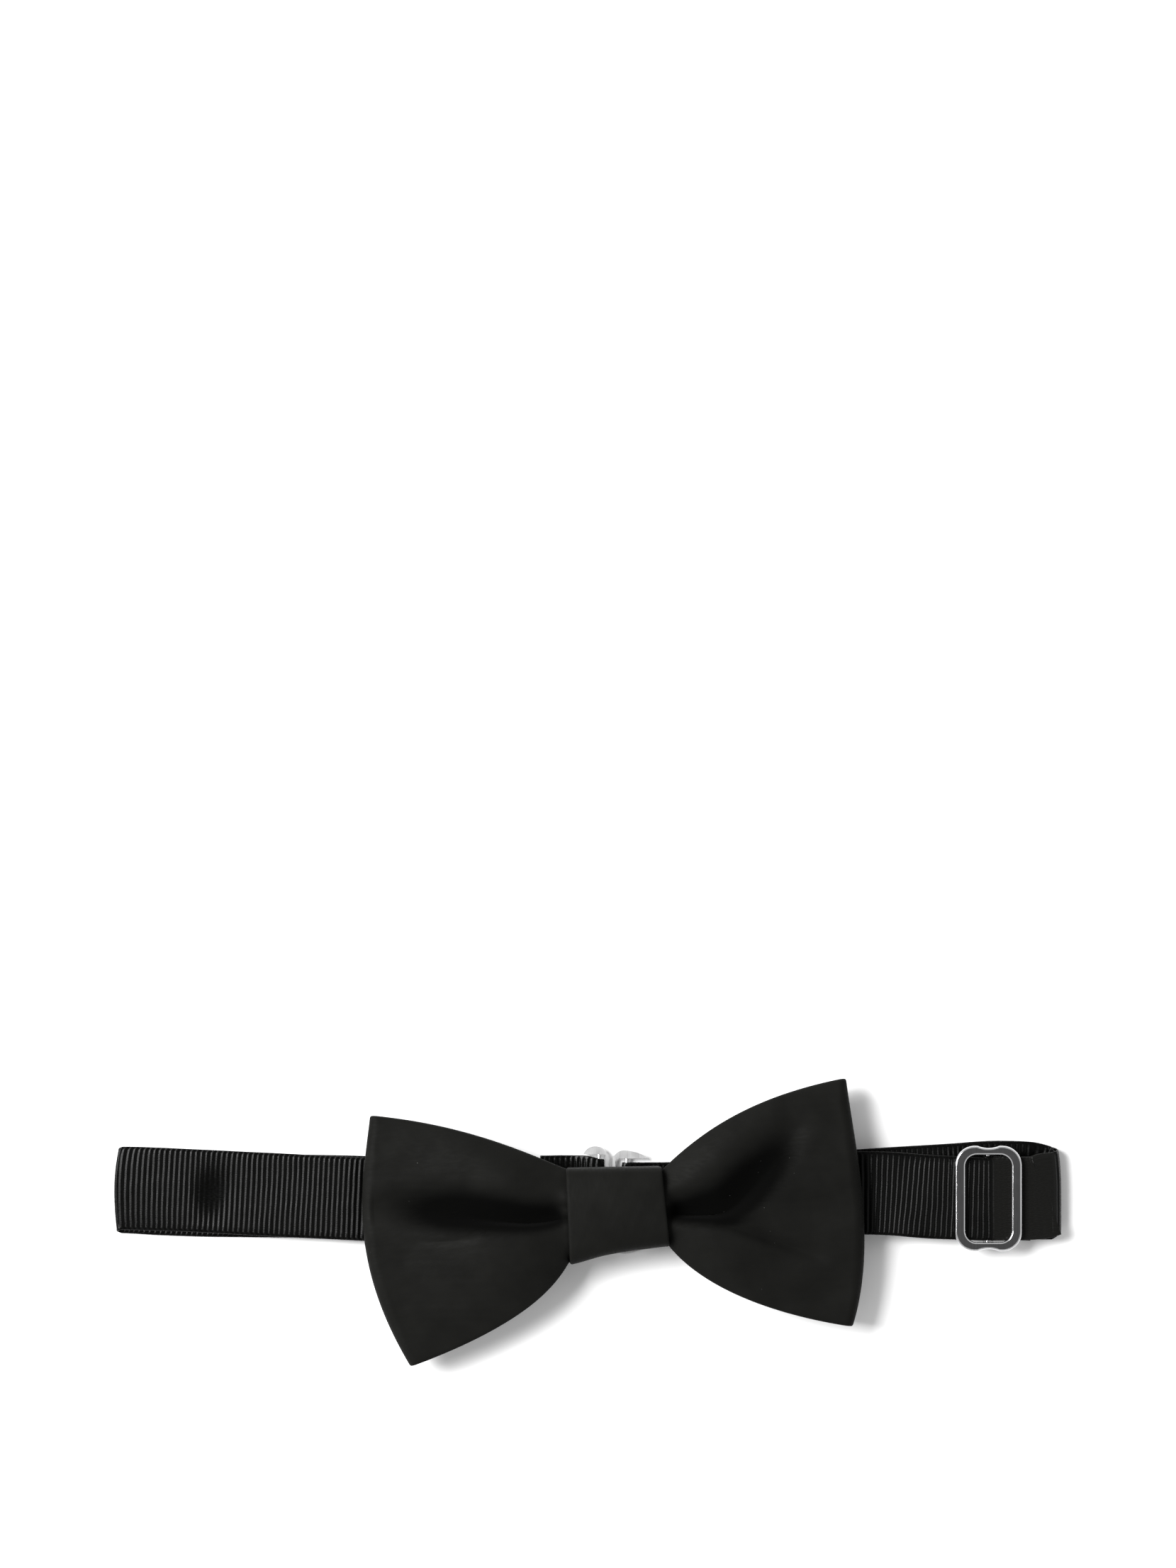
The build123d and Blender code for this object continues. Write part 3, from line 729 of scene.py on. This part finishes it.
# Folds pressed into the front, from the knot outwards. Points are (x, y, width of the wall above,
# width of the wall below, depth, how far the cloth below laps over) along the bottom of each.
LEFT_FOLDS = [
    [(-5.3, 1.3, 4.2, 1.8, 4.0, 0.4), (-10.0, 0.3, 5.0, 2.0, 4.8, 0.8), (-14.7, 0.0, 5.6, 2.2, 5.3, 1.0),
     (-20.0, 0.5, 6.0, 2.4, 5.3, 0.9), (-25.0, 1.3, 6.2, 2.7, 4.9, 0.6), (-31.0, 2.3, 6.2, 3.2, 4.3, 0.2),
     (-38.0, 3.0, 5.4, 3.4, 3.0, 0.0), (-46.0, 3.2, 4.0, 2.8, 1.2, 0.0), (-50.5, 3.2, 3.0, 2.4, 0.0, 0.0)],
    [(-20.0, -2.2, 1.0, 0.9, 0.0, 0.0), (-25.0, -3.2, 1.4, 1.0, 0.5, 0.1), (-31.0, -3.9, 1.5, 1.0, 0.6, 0.1),
     (-37.0, -3.9, 1.4, 1.0, 0.4, 0.1), (-42.0, -3.4, 1.2, 1.0, 0.0, 0.0)],
]
RIGHT_FOLDS = [
    [(17.5, 2.5, 3.6, 1.8, 4.0, 0.4), (21.7, 1.9, 4.8, 2.0, 4.8, 0.8), (25.9, 1.9, 6.2, 2.2, 5.4, 1.0),
     (30.1, 2.6, 7.0, 2.6, 5.5, 0.8), (34.0, 5.2, 7.2, 3.0, 5.3, 0.6), (37.6, 9.2, 6.8, 3.2, 4.7, 0.3),
     (41.3, 13.9, 6.0, 3.4, 3.6, 0.1), (44.8, 18.8, 5.0, 3.4, 2.0, 0.0), (47.6, 23.6, 3.8, 3.0, 0.0, 0.0)],
    [(23.5, 1.0, 1.6, 1.2, 0.0, 0.0), (29.5, -0.7, 2.4, 1.5, 1.3, 0.1), (36.0, -2.3, 2.8, 1.7, 1.7, 0.2),
     (43.0, -4.1, 3.0, 1.9, 1.6, 0.1), (49.0, -6.3, 2.7, 1.8, 1.0, 0.0), (54.5, -8.2, 2.2, 1.6, 0.0, 0.0)],
]
EDGE_STEPS = np.array([0.0, 0.08, 0.28, 0.6])
INNER_COLUMNS = 96
FRONT_ROWS = 105
CLOSE_ROWS = 9              # the last front rows, closer together at the folded end
END_ROWS = 15
KNOT_ROWS = 14
FOLD_POINTS = 140           # points of the smooth line along a fold's bottom
FOLD_SHADE = 0.97
SHADE_WIDEN = 1.7           # how much wider the shading is than a fold's lower wall
FLOOR_SOFT = 0.25           # how softly a fold's bottom meets the back ply
NEAR_SPREAD = 9.0           # square millimetres over which a fold's nearest points are averaged


def coons(wing, s, v):
    """Plan place of a wing at s from the knot to the folded end and v from bottom to top."""
    up = (v + 1) / 2
    top, bottom = bezier(wing["top"], s), bezier(wing["bottom"], s)
    end = bezier(wing["end"], 1 - up)
    inner_top, inner_bottom = np.array(wing["top"][0]), np.array(wing["bottom"][0])
    outer_top, outer_bottom = np.array(wing["top"][3]), np.array(wing["bottom"][3])
    s, up = s[..., None], up[..., None]
    mouth = (1 - up) * inner_bottom + up * inner_top
    corners = (1 - s) * mouth + s * ((1 - up) * outer_bottom + up * outer_top)
    return (1 - up) * bottom + up * top + (1 - s) * mouth + s * end - corners


def smooth_line(points, count):
    """Many points along a smooth curve through a few, for every column alike."""
    t = np.linspace(0, len(points) - 1, count)
    i = np.minimum(t.astype(int), len(points) - 2)
    f = (t - i)[:, None]
    p = np.concatenate([[2 * points[0] - points[1]], points, [2 * points[-1] - points[-2]]])
    a, b, c, d = p[i], p[i + 1], p[i + 2], p[i + 3]
    curve = b + f * (c - a) / 2 + f ** 2 * (a - 2.5 * b + 2 * c - d / 2)
    return curve + f ** 3 * (1.5 * b - 1.5 * c + d / 2 - a / 2)


def fold_places(fold, x, y):
    """For places in plan: distance from the fold's bottom, its sides, and its sizes there."""
    line = smooth_line(np.array(fold, float), FOLD_POINTS)
    line[:, 4:] = np.clip(line[:, 4:], 0, None)
    ahead = unit(np.gradient(line[:, :2], axis=0))
    above = np.stack([-ahead[:, 1], ahead[:, 0]], -1)
    if above[:, 1].sum() < 0:
        above = -above
    place = np.stack([x, y], -1)
    steps = place[..., None, :] - line[:, :2]
    away = (steps ** 2).sum(-1)
    share = np.exp((away.min(-1, keepdims=True) - away) / NEAR_SPREAD)
    share /= share.sum(-1, keepdims=True)
    signed = (share * (steps * above).sum(-1)).sum(-1)
    along = (share * (steps * ahead).sum(-1)).sum(-1)
    return signed, along, share @ above, share @ line[:, 2:]


def fold_depth(folds, x, y, below=1.0):
    """Depth of the pressed folds at places in plan; below widens their lower walls."""
    depth = np.zeros_like(x)
    for fold in folds:
        signed, along, _, size = fold_places(fold, x, y)
        width = np.where(signed > 0, size[..., 0], size[..., 1] * below)
        reach = np.hypot(signed / width, along / size[..., 1])
        depth = np.maximum(depth, size[..., 2] * np.exp(-reach ** 2.1))
    return depth


def fold_lap(folds, x, y):
    """How far each place is drawn over the bottom of a fold from below, in plan."""
    lip_share, tail, past_end, strength = 1.3, 11.0, 2.0, 1.5
    move = np.zeros(x.shape + (2,))
    for fold in folds:
        signed, along, above, size = fold_places(fold, x, y)
        below = np.clip(-signed, 0, None)
        lip = size[..., 1] * lip_share
        rise = smooth_step(0, 1, below / lip)
        fall = 1 - smooth_step(0, 1, (below - lip) / tail)
        ends = np.exp(-(along / past_end) ** 2)
        move += above * (size[..., 3] * strength * rise * fall * ends)[..., None]
    return move


# Thin raised lines of pulled cloth: points (x, y) along each.
RAISED = [[(-42, 0.4), (-31, -0.2), (-20, 0.1)], [(-36.5, -3.3), (-29, -3.7), (-21, -3.3)]]


def raised_lines(x, y):
    """Fine ridges below the left fold."""
    height, half_width = 0.14, 0.45
    total = np.zeros_like(x)
    for line in RAISED:
        level = eased(np.clip(x, line[0][0], line[-1][0]), line)
        begins = smooth_step(line[0][0] - 2, line[0][0] + 3, x)
        stops = smooth_step(line[-1][0] + 2, line[-1][0] - 3, x)
        total += height * np.exp(-((y - level) / half_width) ** 2) * begins * stops
    return total


def edge_places(height):
    """Values from -1 to 1 across a strip, closer together at its two folded edges."""
    margin = EDGE_STEPS[None, :] / (height[:, None] / 2)
    stop = 1 - margin[:, -1:] - 0.4 / (height[:, None] / 2)
    inner = np.linspace(-1, 1, INNER_COLUMNS)[None, :] * stop
    return np.concatenate([-1 + margin, inner, (1 - margin)[:, ::-1]], 1)


def strip_height(wing, s):
    """Width of the strip across the wing."""
    return np.linalg.norm(bezier(wing["top"], s) - bezier(wing["bottom"], s), axis=-1)


def front_height(folds, s, v, plan, seed):
    """Height of the front ply's middle."""
    edge = eased(s, [(0, 9.3), (0.4, 9.9), (1, 9.0)])
    dome = eased(s, [(0, 12.3), (0.42, 14.2), (1, 10.2)])
    lift = 1 - np.abs(v) ** 2.6
    x, y = plan[..., 0], plan[..., 1]
    z = edge + (dome - edge) * lift - fold_depth(folds, x, y) * smooth_step(1.0, 0.8, np.abs(v))
    pull = ripple(x * 0.10, y * 0.55, seed) * 0.10 + ripple(x * 0.35, y * 0.32, seed + 1) * 0.06
    drawn = ripple(x * 0.12, y * 3.2, seed + 2) * 0.035 * smooth_step(0.35, 0.8, s)
    gathers = np.sin(v * 17 + 1.5 * np.sin(v * 5)) * 0.16 * np.exp(-s / 0.07)
    return z + (pull + drawn + gathers) * smooth_step(1.0, 0.85, np.abs(v)) + raised_lines(x, y)


def back_height(s, v):
    """Height of the back ply's middle."""
    flat = eased(s, [(0, 7.1), (1, 6.4)])
    return flat - 0.1 * (1 - np.abs(v) ** 3) * np.sin(math.pi * np.clip(s, 0, 1))


def folded_end(wing, folds, v, seed):
    """The end's outward direction, the plan's stretch, and the radius and mid height of its turn."""
    step, last = 1e-3, np.ones_like(v)
    plan = coons(wing, last, v)
    outwards = (plan - coons(wing, last - step, v)) / step
    front, back = front_height(folds, last, v, plan, seed), back_height(last, v)
    return unit(outwards), np.linalg.norm(outwards, axis=-1), (front - back) / 2, (front + back) / 2


def grid_rows(plan, z, shade=0.0):
    """Places in plan, with their height and their shade as two more columns."""
    return np.concatenate([plan, np.stack([z, np.zeros_like(z) + shade], -1)], -1)


def wing_rows(wing, folds, seed):
    """Front, folded end and back of a wing, from the knot outwards and back, as one grid.

    Its columns are x, y, z and how deep a place lies in a fold, from 0 to 1, which sets the painted shade
    there.
    """
    s_line = np.concatenate([np.linspace(0, 0.94, FRONT_ROWS - CLOSE_ROWS),
                             np.linspace(0.948, 1, CLOSE_ROWS)])
    s, v = np.broadcast_arrays(s_line[:, None], edge_places(strip_height(wing, s_line)))
    outwards, reach, radius, centre_z = [part[0] for part in folded_end(wing, folds, v[-1:], seed)]
    # The front and back stop short of the outline, so that the turn stays inside it.
    plan = coons(wing, s * (1 - (radius + STRIP_THICKNESS / 2) / reach), v)
    back = back_height(s, v)
    floor_z = back + STRIP_THICKNESS + 0.1
    above = front_height(folds, s, v, plan, seed) - floor_z
    above = FLOOR_SOFT * np.logaddexp(0, above / FLOOR_SOFT)
    inner = smooth_step(1.0, 0.7, np.abs(v))[..., None] * smooth_step(1.0, 0.85, s)[..., None]
    lapped = plan + fold_lap(folds, plan[..., 0], plan[..., 1]) * inner
    # Painted shade: the front ply's colour darkens deep in each fold, over a band wider than the fold's
    # lower wall.
    depth = fold_depth(folds, plan[..., 0], plan[..., 1], SHADE_WIDEN)
    front_rows = grid_rows(lapped, floor_z + above, FOLD_SHADE * smooth_step(0.6, 3.3, depth))
    end_rows = []
    for angle in np.radians(np.linspace(90, -90, END_ROWS))[1:-1]:
        move = outwards * (radius * math.cos(angle))[..., None]
        end_rows.append(grid_rows(plan[-1] + move, centre_z + radius * math.sin(angle)))
    return np.concatenate([front_rows, np.array(end_rows), grid_rows(plan, back)[::-1]])


def across_knot(start, end, squeeze, z_move):
    """Rows from one mouth of the knot to the other, pinched in the middle."""
    t = np.linspace(0, 1, KNOT_ROWS + 2)[1:-1][:, None, None]
    line = (1 - t) * start + t * end
    bow = np.sin(math.pi * t)
    middle_y = (line[..., 1:2].max(1, keepdims=True) + line[..., 1:2].min(1, keepdims=True)) / 2
    line[..., 1:2] = middle_y + (line[..., 1:2] - middle_y) * (1 - squeeze * bow)
    line[..., 2:3] += z_move * bow
    return line


def bow_grid():
    """The whole loop of the bow: left wing, back of the knot, right wing, front of the knot."""
    left = wing_rows(LEFT_WING, LEFT_FOLDS, 61)
    right = wing_rows(RIGHT_WING, RIGHT_FOLDS, 67)
    back = across_knot(left[-1], right[-1], squeeze=0.2, z_move=0.2)
    front = across_knot(right[0], left[0], squeeze=0.2, z_move=-0.7)
    return left, back, right[::-1], front


def cloth_lengths(grid):
    """Flat coordinates along and across a grid of cloth."""
    steps = np.linalg.norm(np.diff(grid, axis=0), axis=2).mean(1)
    along = np.concatenate([[0], np.cumsum(steps)])
    across = np.concatenate([np.zeros((len(grid), 1)),
                             np.cumsum(np.linalg.norm(np.diff(grid, axis=1), axis=2), 1)], 1)
    across = across - across[:, -1:] / 2
    return across, np.repeat(along[:, None], grid.shape[1], 1)


def strip_half(grid, thickness, edge):
    """Half thickness of a strip whose two long edges are rounded."""
    across, _ = cloth_lengths(grid)
    return thickness / 2 * rounded(across[:, -1:] - np.abs(across), edge, 0.06)


def bow_loop(material):
    """Silk tube pressed flat and sewn into a ring: both wings and the pinched middle.

    It is hollow, and the wall of its hollow has every second row and column.
    """
    rows = np.concatenate(bow_grid())
    grid, shade = rows[..., :3], rows[..., 3]
    up = surface_normals(grid, True)
    across, along = cloth_lengths(grid)
    flat = place_on_cloth(across, along, shade)
    outer = shell(grid, strip_half(grid, STRIP_THICKNESS, 0.6), flat, up, True)
    half = strip_half(grid, STRIP_THICKNESS - 2 * SILK, 0.5)
    every_second = (slice(None, None, 2), slice(3, -3, 2))
    inner = shell(*[part[every_second] for part in (grid, half * 0.98, flat, up)], True, True)
    points = np.concatenate([outer[0], inner[0]])
    faces = outer[1] + [[v + len(outer[0]) for v in face] for face in inner[1]]
    loop = make_object("bow_loop", points, faces, np.concatenate([outer[2], inner[2]]))
    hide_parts("bow_left_wing", "bow_right_wing", "bow_centre")
    dress(loop, material, "bow")


def stiffenings(material):
    """Woven stiffening inside the tube of each wing."""
    left, _, right, _ = bow_grid()
    for name, grid in (("left", left), ("right", right)):
        inner = grid[6:-6, 6:-6, :3]
        across, along = cloth_lengths(inner)
        up = surface_normals(inner, False)
        half = strip_half(inner, STIFFENING, 0.3)
        flat = place_on_cloth(across, along)
        piece = make_object(f"bow_{name}_stiffening", *shell(inner, half, flat, up, False))
        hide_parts(f"bow_{name}_lining")
        dress(piece, material, "bow")


# ---- the knot ---------------------------------
# Lower edge of the knot band: points (x, y).
KNOT_BOTTOM = [(-6.5, -9.7), (-4.2, -9.3), (3.2, -7.3), (8.0, -6.4), (12.5, -5.8), (19.5, -5.1)]


def knot_section(x, angle, wall):
    """Place round the band at an angle: a soft face in front and squarer corners behind."""
    top = KNOT_TOP + 0.018 * (x - KNOT_X)
    bottom = eased(x, KNOT_BOTTOM)
    half_y = (top - bottom) / 2 - wall
    half_z = (KNOT_HIGH[2] - KNOT_LOW[2]) / 2 - wall
    power = np.where(np.sin(angle) > 0, 3.4, 9.0)
    c, s = np.cos(angle), np.sin(angle)
    size = (np.abs(c) ** power + np.abs(s) ** power) ** (-1 / power)
    y = (top + bottom) / 2 + half_y * size * c
    z = (KNOT_HIGH[2] + KNOT_LOW[2]) / 2 + half_z * size * s
    return y, z


def knot_grid(wall):
    """Band of cloth round the middle: rows round it, columns from its left edge to its right."""
    angle = np.linspace(0, 2 * math.pi, 181)[:-1]
    edge = np.array([0.0, 0.06, 0.2, 0.45, 0.8])
    inner = np.linspace(1.3, KNOT_WIDTH - 1.3, 40)
    u = np.concatenate([edge, inner, KNOT_WIDTH - edge[::-1]]) / KNOT_WIDTH
    a, u = np.meshgrid(angle, u, indexing="ij")
    y_guess, _ = knot_section(np.full_like(a, KNOT_X), a, wall)
    level = (KNOT_TOP - y_guess) / KNOT_WIDTH
    behind = np.clip(-np.sin(a), 0, 1)
    left = -5.35 + 1.1 * level + 0.2 * behind       # both edges slant, and the back is narrower
    right = 16.4 + 2.1 * level - 1.2 * behind
    x = left + (right - left) * u
    y, z = knot_section(x, a, wall)
    front = np.clip(np.sin(a), 0, 1)
    z = z - 0.45 * np.abs(2 * u - 1) ** 3 * front
    hollow = 0.12 * np.exp(-((x + 1) / 3) ** 2 - ((y - 9) / 2) ** 2)
    z = z + front * (0.07 * ripple(x * 0.5, y * 0.45, 71) - hollow)
    return np.stack([x, y, z], -1), a, u


def knot_band(material):
    """Plain band of silk round the middle, its raw edges folded under."""
    grid, angle, u = knot_grid(KNOT_THICKNESS / 2)
    up = surface_normals(grid, True)
    half = KNOT_THICKNESS / 2 * rounded(np.minimum(u, 1 - u) * KNOT_WIDTH, 0.5, 0.06)
    along = angle / (2 * math.pi) * KNOT_ROUND
    flat = place_on_cloth((u - 0.5) * KNOT_WIDTH, along)
    band = make_object("knot_band", *shell(grid, half, flat, up, True))
    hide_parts("knot_wrap")
    dress(band, material, "bow")


def knot_pad(material):
    """Small pad under the face of the knot."""
    u, v = np.meshgrid(np.linspace(-1, 1, 41), np.linspace(-1, 1, 33), indexing="ij")
    middle, size = (PAD_LOW + PAD_HIGH) / 2, (PAD_HIGH - PAD_LOW) / 2
    square = np.maximum(np.abs(u), np.abs(v))
    round_off = square / np.maximum(np.hypot(u, v), 1e-9) * 0.35 + 0.65
    x = middle[0] + size[0] * u * round_off
    low = np.maximum(eased(x, KNOT_BOTTOM) + 2.2, PAD_LOW[1])
    y = (low + PAD_HIGH[1]) / 2 + (PAD_HIGH[1] - low) / 2 * v * round_off
    crown = np.sqrt(np.clip(1 - square ** 3, 0, 1))
    grid = np.stack([x, y, np.full_like(x, PAD_LOW[2] + 0.45)], -1)
    up = np.zeros_like(grid)
    up[..., 2] = 1
    half = 0.42 * (0.1 + 0.9 * crown)
    pad = make_object("knot_pad_soft", *shell(grid, half, place_on_cloth(y, x), up, False))
    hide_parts("knot_pad")
    dress(pad, material, "bow")


# ---- stitches ---------------------------------
THREAD_RADIUS = 0.13


def winding(material):
    """Thread wound round the pinched middle of the bow."""
    turns = 8
    t = np.linspace(0, turns, turns * 60)
    angle = 2 * math.pi * t
    middle, size = (WINDING_LOW + WINDING_HIGH) / 2, (WINDING_HIGH - WINDING_LOW) / 2 - 0.15
    c, s = np.cos(angle), np.sin(angle)
    reach = (np.abs(c) ** 5 + np.abs(s) ** 5) ** (-1 / 5)
    x = WINDING_LOW[0] + 0.2 + (WINDING_HIGH[0] - WINDING_LOW[0] - 0.4) * t / turns
    line = np.column_stack([x, middle[1] + size[1] * reach * c, middle[2] + size[2] * reach * s])
    coil = thread_object("gather_winding", [line], 0.14)
    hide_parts("gather_thread")
    dress(coil, material, "bow")


def seam_stitches(material):
    """Slanted slip stitches along the seam at the back of the knot."""
    lines = []
    y = (SEAM_LOW[1] + SEAM_HIGH[1]) / 2
    for x in np.arange(SEAM_LOW[0] + 0.6, SEAM_HIGH[0] - 0.8, 1.5):
        t = np.linspace(0, 1, 9)
        z = KNOT_LOW[2] - 0.10 * np.sin(math.pi * t) + 0.08
        lines.append(np.column_stack([x + 0.8 * t, y - 0.45 + 0.9 * t, z]))
    stitches = thread_object("knot_seam_stitches", lines, THREAD_RADIUS)
    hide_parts("knot_back_stitches")
    dress(stitches, material, "bow")


def bar_tack(name, node, low, high, face, body, material):
    """Close zigzag of thread across the ribbon, standing a little off the face it is sewn to."""
    pitch = 0.42
    count = int((high[1] - low[1]) / pitch)
    points = []
    for k in range(count + 1):
        y = low[1] + 0.2 + k * (high[1] - low[1] - 0.4) / count
        points.append((low[0] + 0.15 if k % 2 else high[0] - 0.15, y))
    corners = np.array(points)
    t = np.linspace(0, count, count * 6 + 1)
    x = np.interp(t, range(count + 1), corners[:, 0])
    y = np.interp(t, range(count + 1), corners[:, 1])
    bulge = 0.10 * np.abs(np.sin(math.pi * t)) + 0.04
    up = 1 if face < (low[2] + high[2]) / 2 else -1
    line = np.column_stack([x, y, face + up * bulge])
    tack = thread_object(name, [line], THREAD_RADIUS)
    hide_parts(node)
    dress(tack, material, body)


def stitches(material):
    winding(material)
    seam_stitches(material)
    bar_tack("hook_end_tack", "hook_bar_tack", HOOK_TACK_LOW, HOOK_TACK_HIGH,
             HOOK_TACK_LOW[2], "left_tail", material)
    bar_tack("slider_end_tack", "slider_bar_tack", SLIDER_TACK_LOW, SLIDER_TACK_HIGH,
             SLIDER_TACK_HIGH[2], "slider", material)


# ---- metal ------------------------------------
def finish_metal():
    """Polished slider, and a paler, duller clasp."""
    polished = metal_material("slider_metal", (0.66, 0.66, 0.67), 0.06, 0.15)
    satin = metal_material("clasp_metal", (0.86, 0.86, 0.86), 0.36, 0.4)
    for name, material in (("slider", polished), ("hook", satin), ("eye", satin)):
        node = frame["nodes"][name]
        node.data.materials.clear()
        node.data.materials.append(material)


# ---- floor, light and camera ------------------
def floor():
    """Plain pale sheet, just below the part."""
    half, low = 3.0, -0.0002
    corners = [(-half, -half, 0), (half, -half, 0), (half, half, 0), (-half, half, 0)]
    mesh = bpy.data.meshes.new("floor")
    mesh.from_pydata(corners, [], [(0, 1, 2, 3)])
    ground = bpy.data.objects.new("floor", mesh)
    ground.location = (0, 0, low)
    bpy.context.scene.collection.objects.link(ground)
    paint = bpy.data.materials.new("floor_white")
    paint.use_nodes = True
    shader = paint.node_tree.nodes["Principled BSDF"]
    shader.inputs["Base Color"].default_value = (0.92, 0.92, 0.92, 1)
    shader.inputs["Roughness"].default_value = 0.95
    shader.inputs["Specular IOR Level"].default_value = 0.0
    ground.data.materials.append(paint)


def lamp():
    """Large soft lamp, high on the left."""
    data = bpy.data.lights.new("key", "AREA")
    data.shape = "SQUARE"
    data.size = 0.8
    data.energy = 44.0
    key = bpy.data.objects.new("key", data)
    key.location = (-0.95, 0.40, 1.15)
    key.rotation_euler = (-key.location).to_track_quat("-Z", "Y").to_euler()
    bpy.context.scene.collection.objects.link(key)


def world_light():
    """Even studio light, brighter round the sides than straight overhead."""
    at_sides, overhead = 0.75, 0.10
    world = bpy.data.worlds.new("studio")
    world.use_nodes = True
    tree = world.node_tree
    back = tree.nodes["Background"]
    place = tree.nodes.new("ShaderNodeTexCoord")
    split = tree.nodes.new("ShaderNodeSeparateXYZ")
    ramp = tree.nodes.new("ShaderNodeValToRGB")
    tree.links.new(place.outputs["Generated"], split.inputs[0])
    tree.links.new(split.outputs["Z"], ramp.inputs[0])
    tree.links.new(ramp.outputs[0], back.inputs["Color"])
    low, high = ramp.color_ramp.elements
    low.position, low.color = 0.80, (at_sides,) * 3 + (1,)
    high.position, high.color = 0.985, (overhead,) * 3 + (1,)
    back.inputs["Strength"].default_value = 1.0
    bpy.context.scene.world = world


def camera():
    """Straight down, square to the tie, with the empty sheet above it in view."""
    data = bpy.data.cameras.new("camera")
    data.sensor_fit = "VERTICAL"
    data.sensor_height = 36.0
    distance = 1.5
    view_height = 0.3568
    data.lens = data.sensor_height * distance / view_height
    data.clip_start = 0.05
    obj = bpy.data.objects.new("camera", data)
    obj.location = (-0.0003, 0.0997, distance + 0.005)
    bpy.context.scene.collection.objects.link(obj)
    bpy.context.scene.camera = obj


def main():
    camera()
    silk = silk_material()
    grosgrain = grosgrain_material()
    white = stiffening_material()
    thread = thread_material()
    left_strap(grosgrain)
    right_strap(grosgrain)
    slider_end(grosgrain)
    bow_loop(silk)
    stiffenings(white)
    knot_band(silk)
    knot_pad(white)
    stitches(thread)
    finish_metal()
    floor()
    world_light()
    lamp()
    bpy.context.scene.view_settings.view_transform = "Standard"


main()
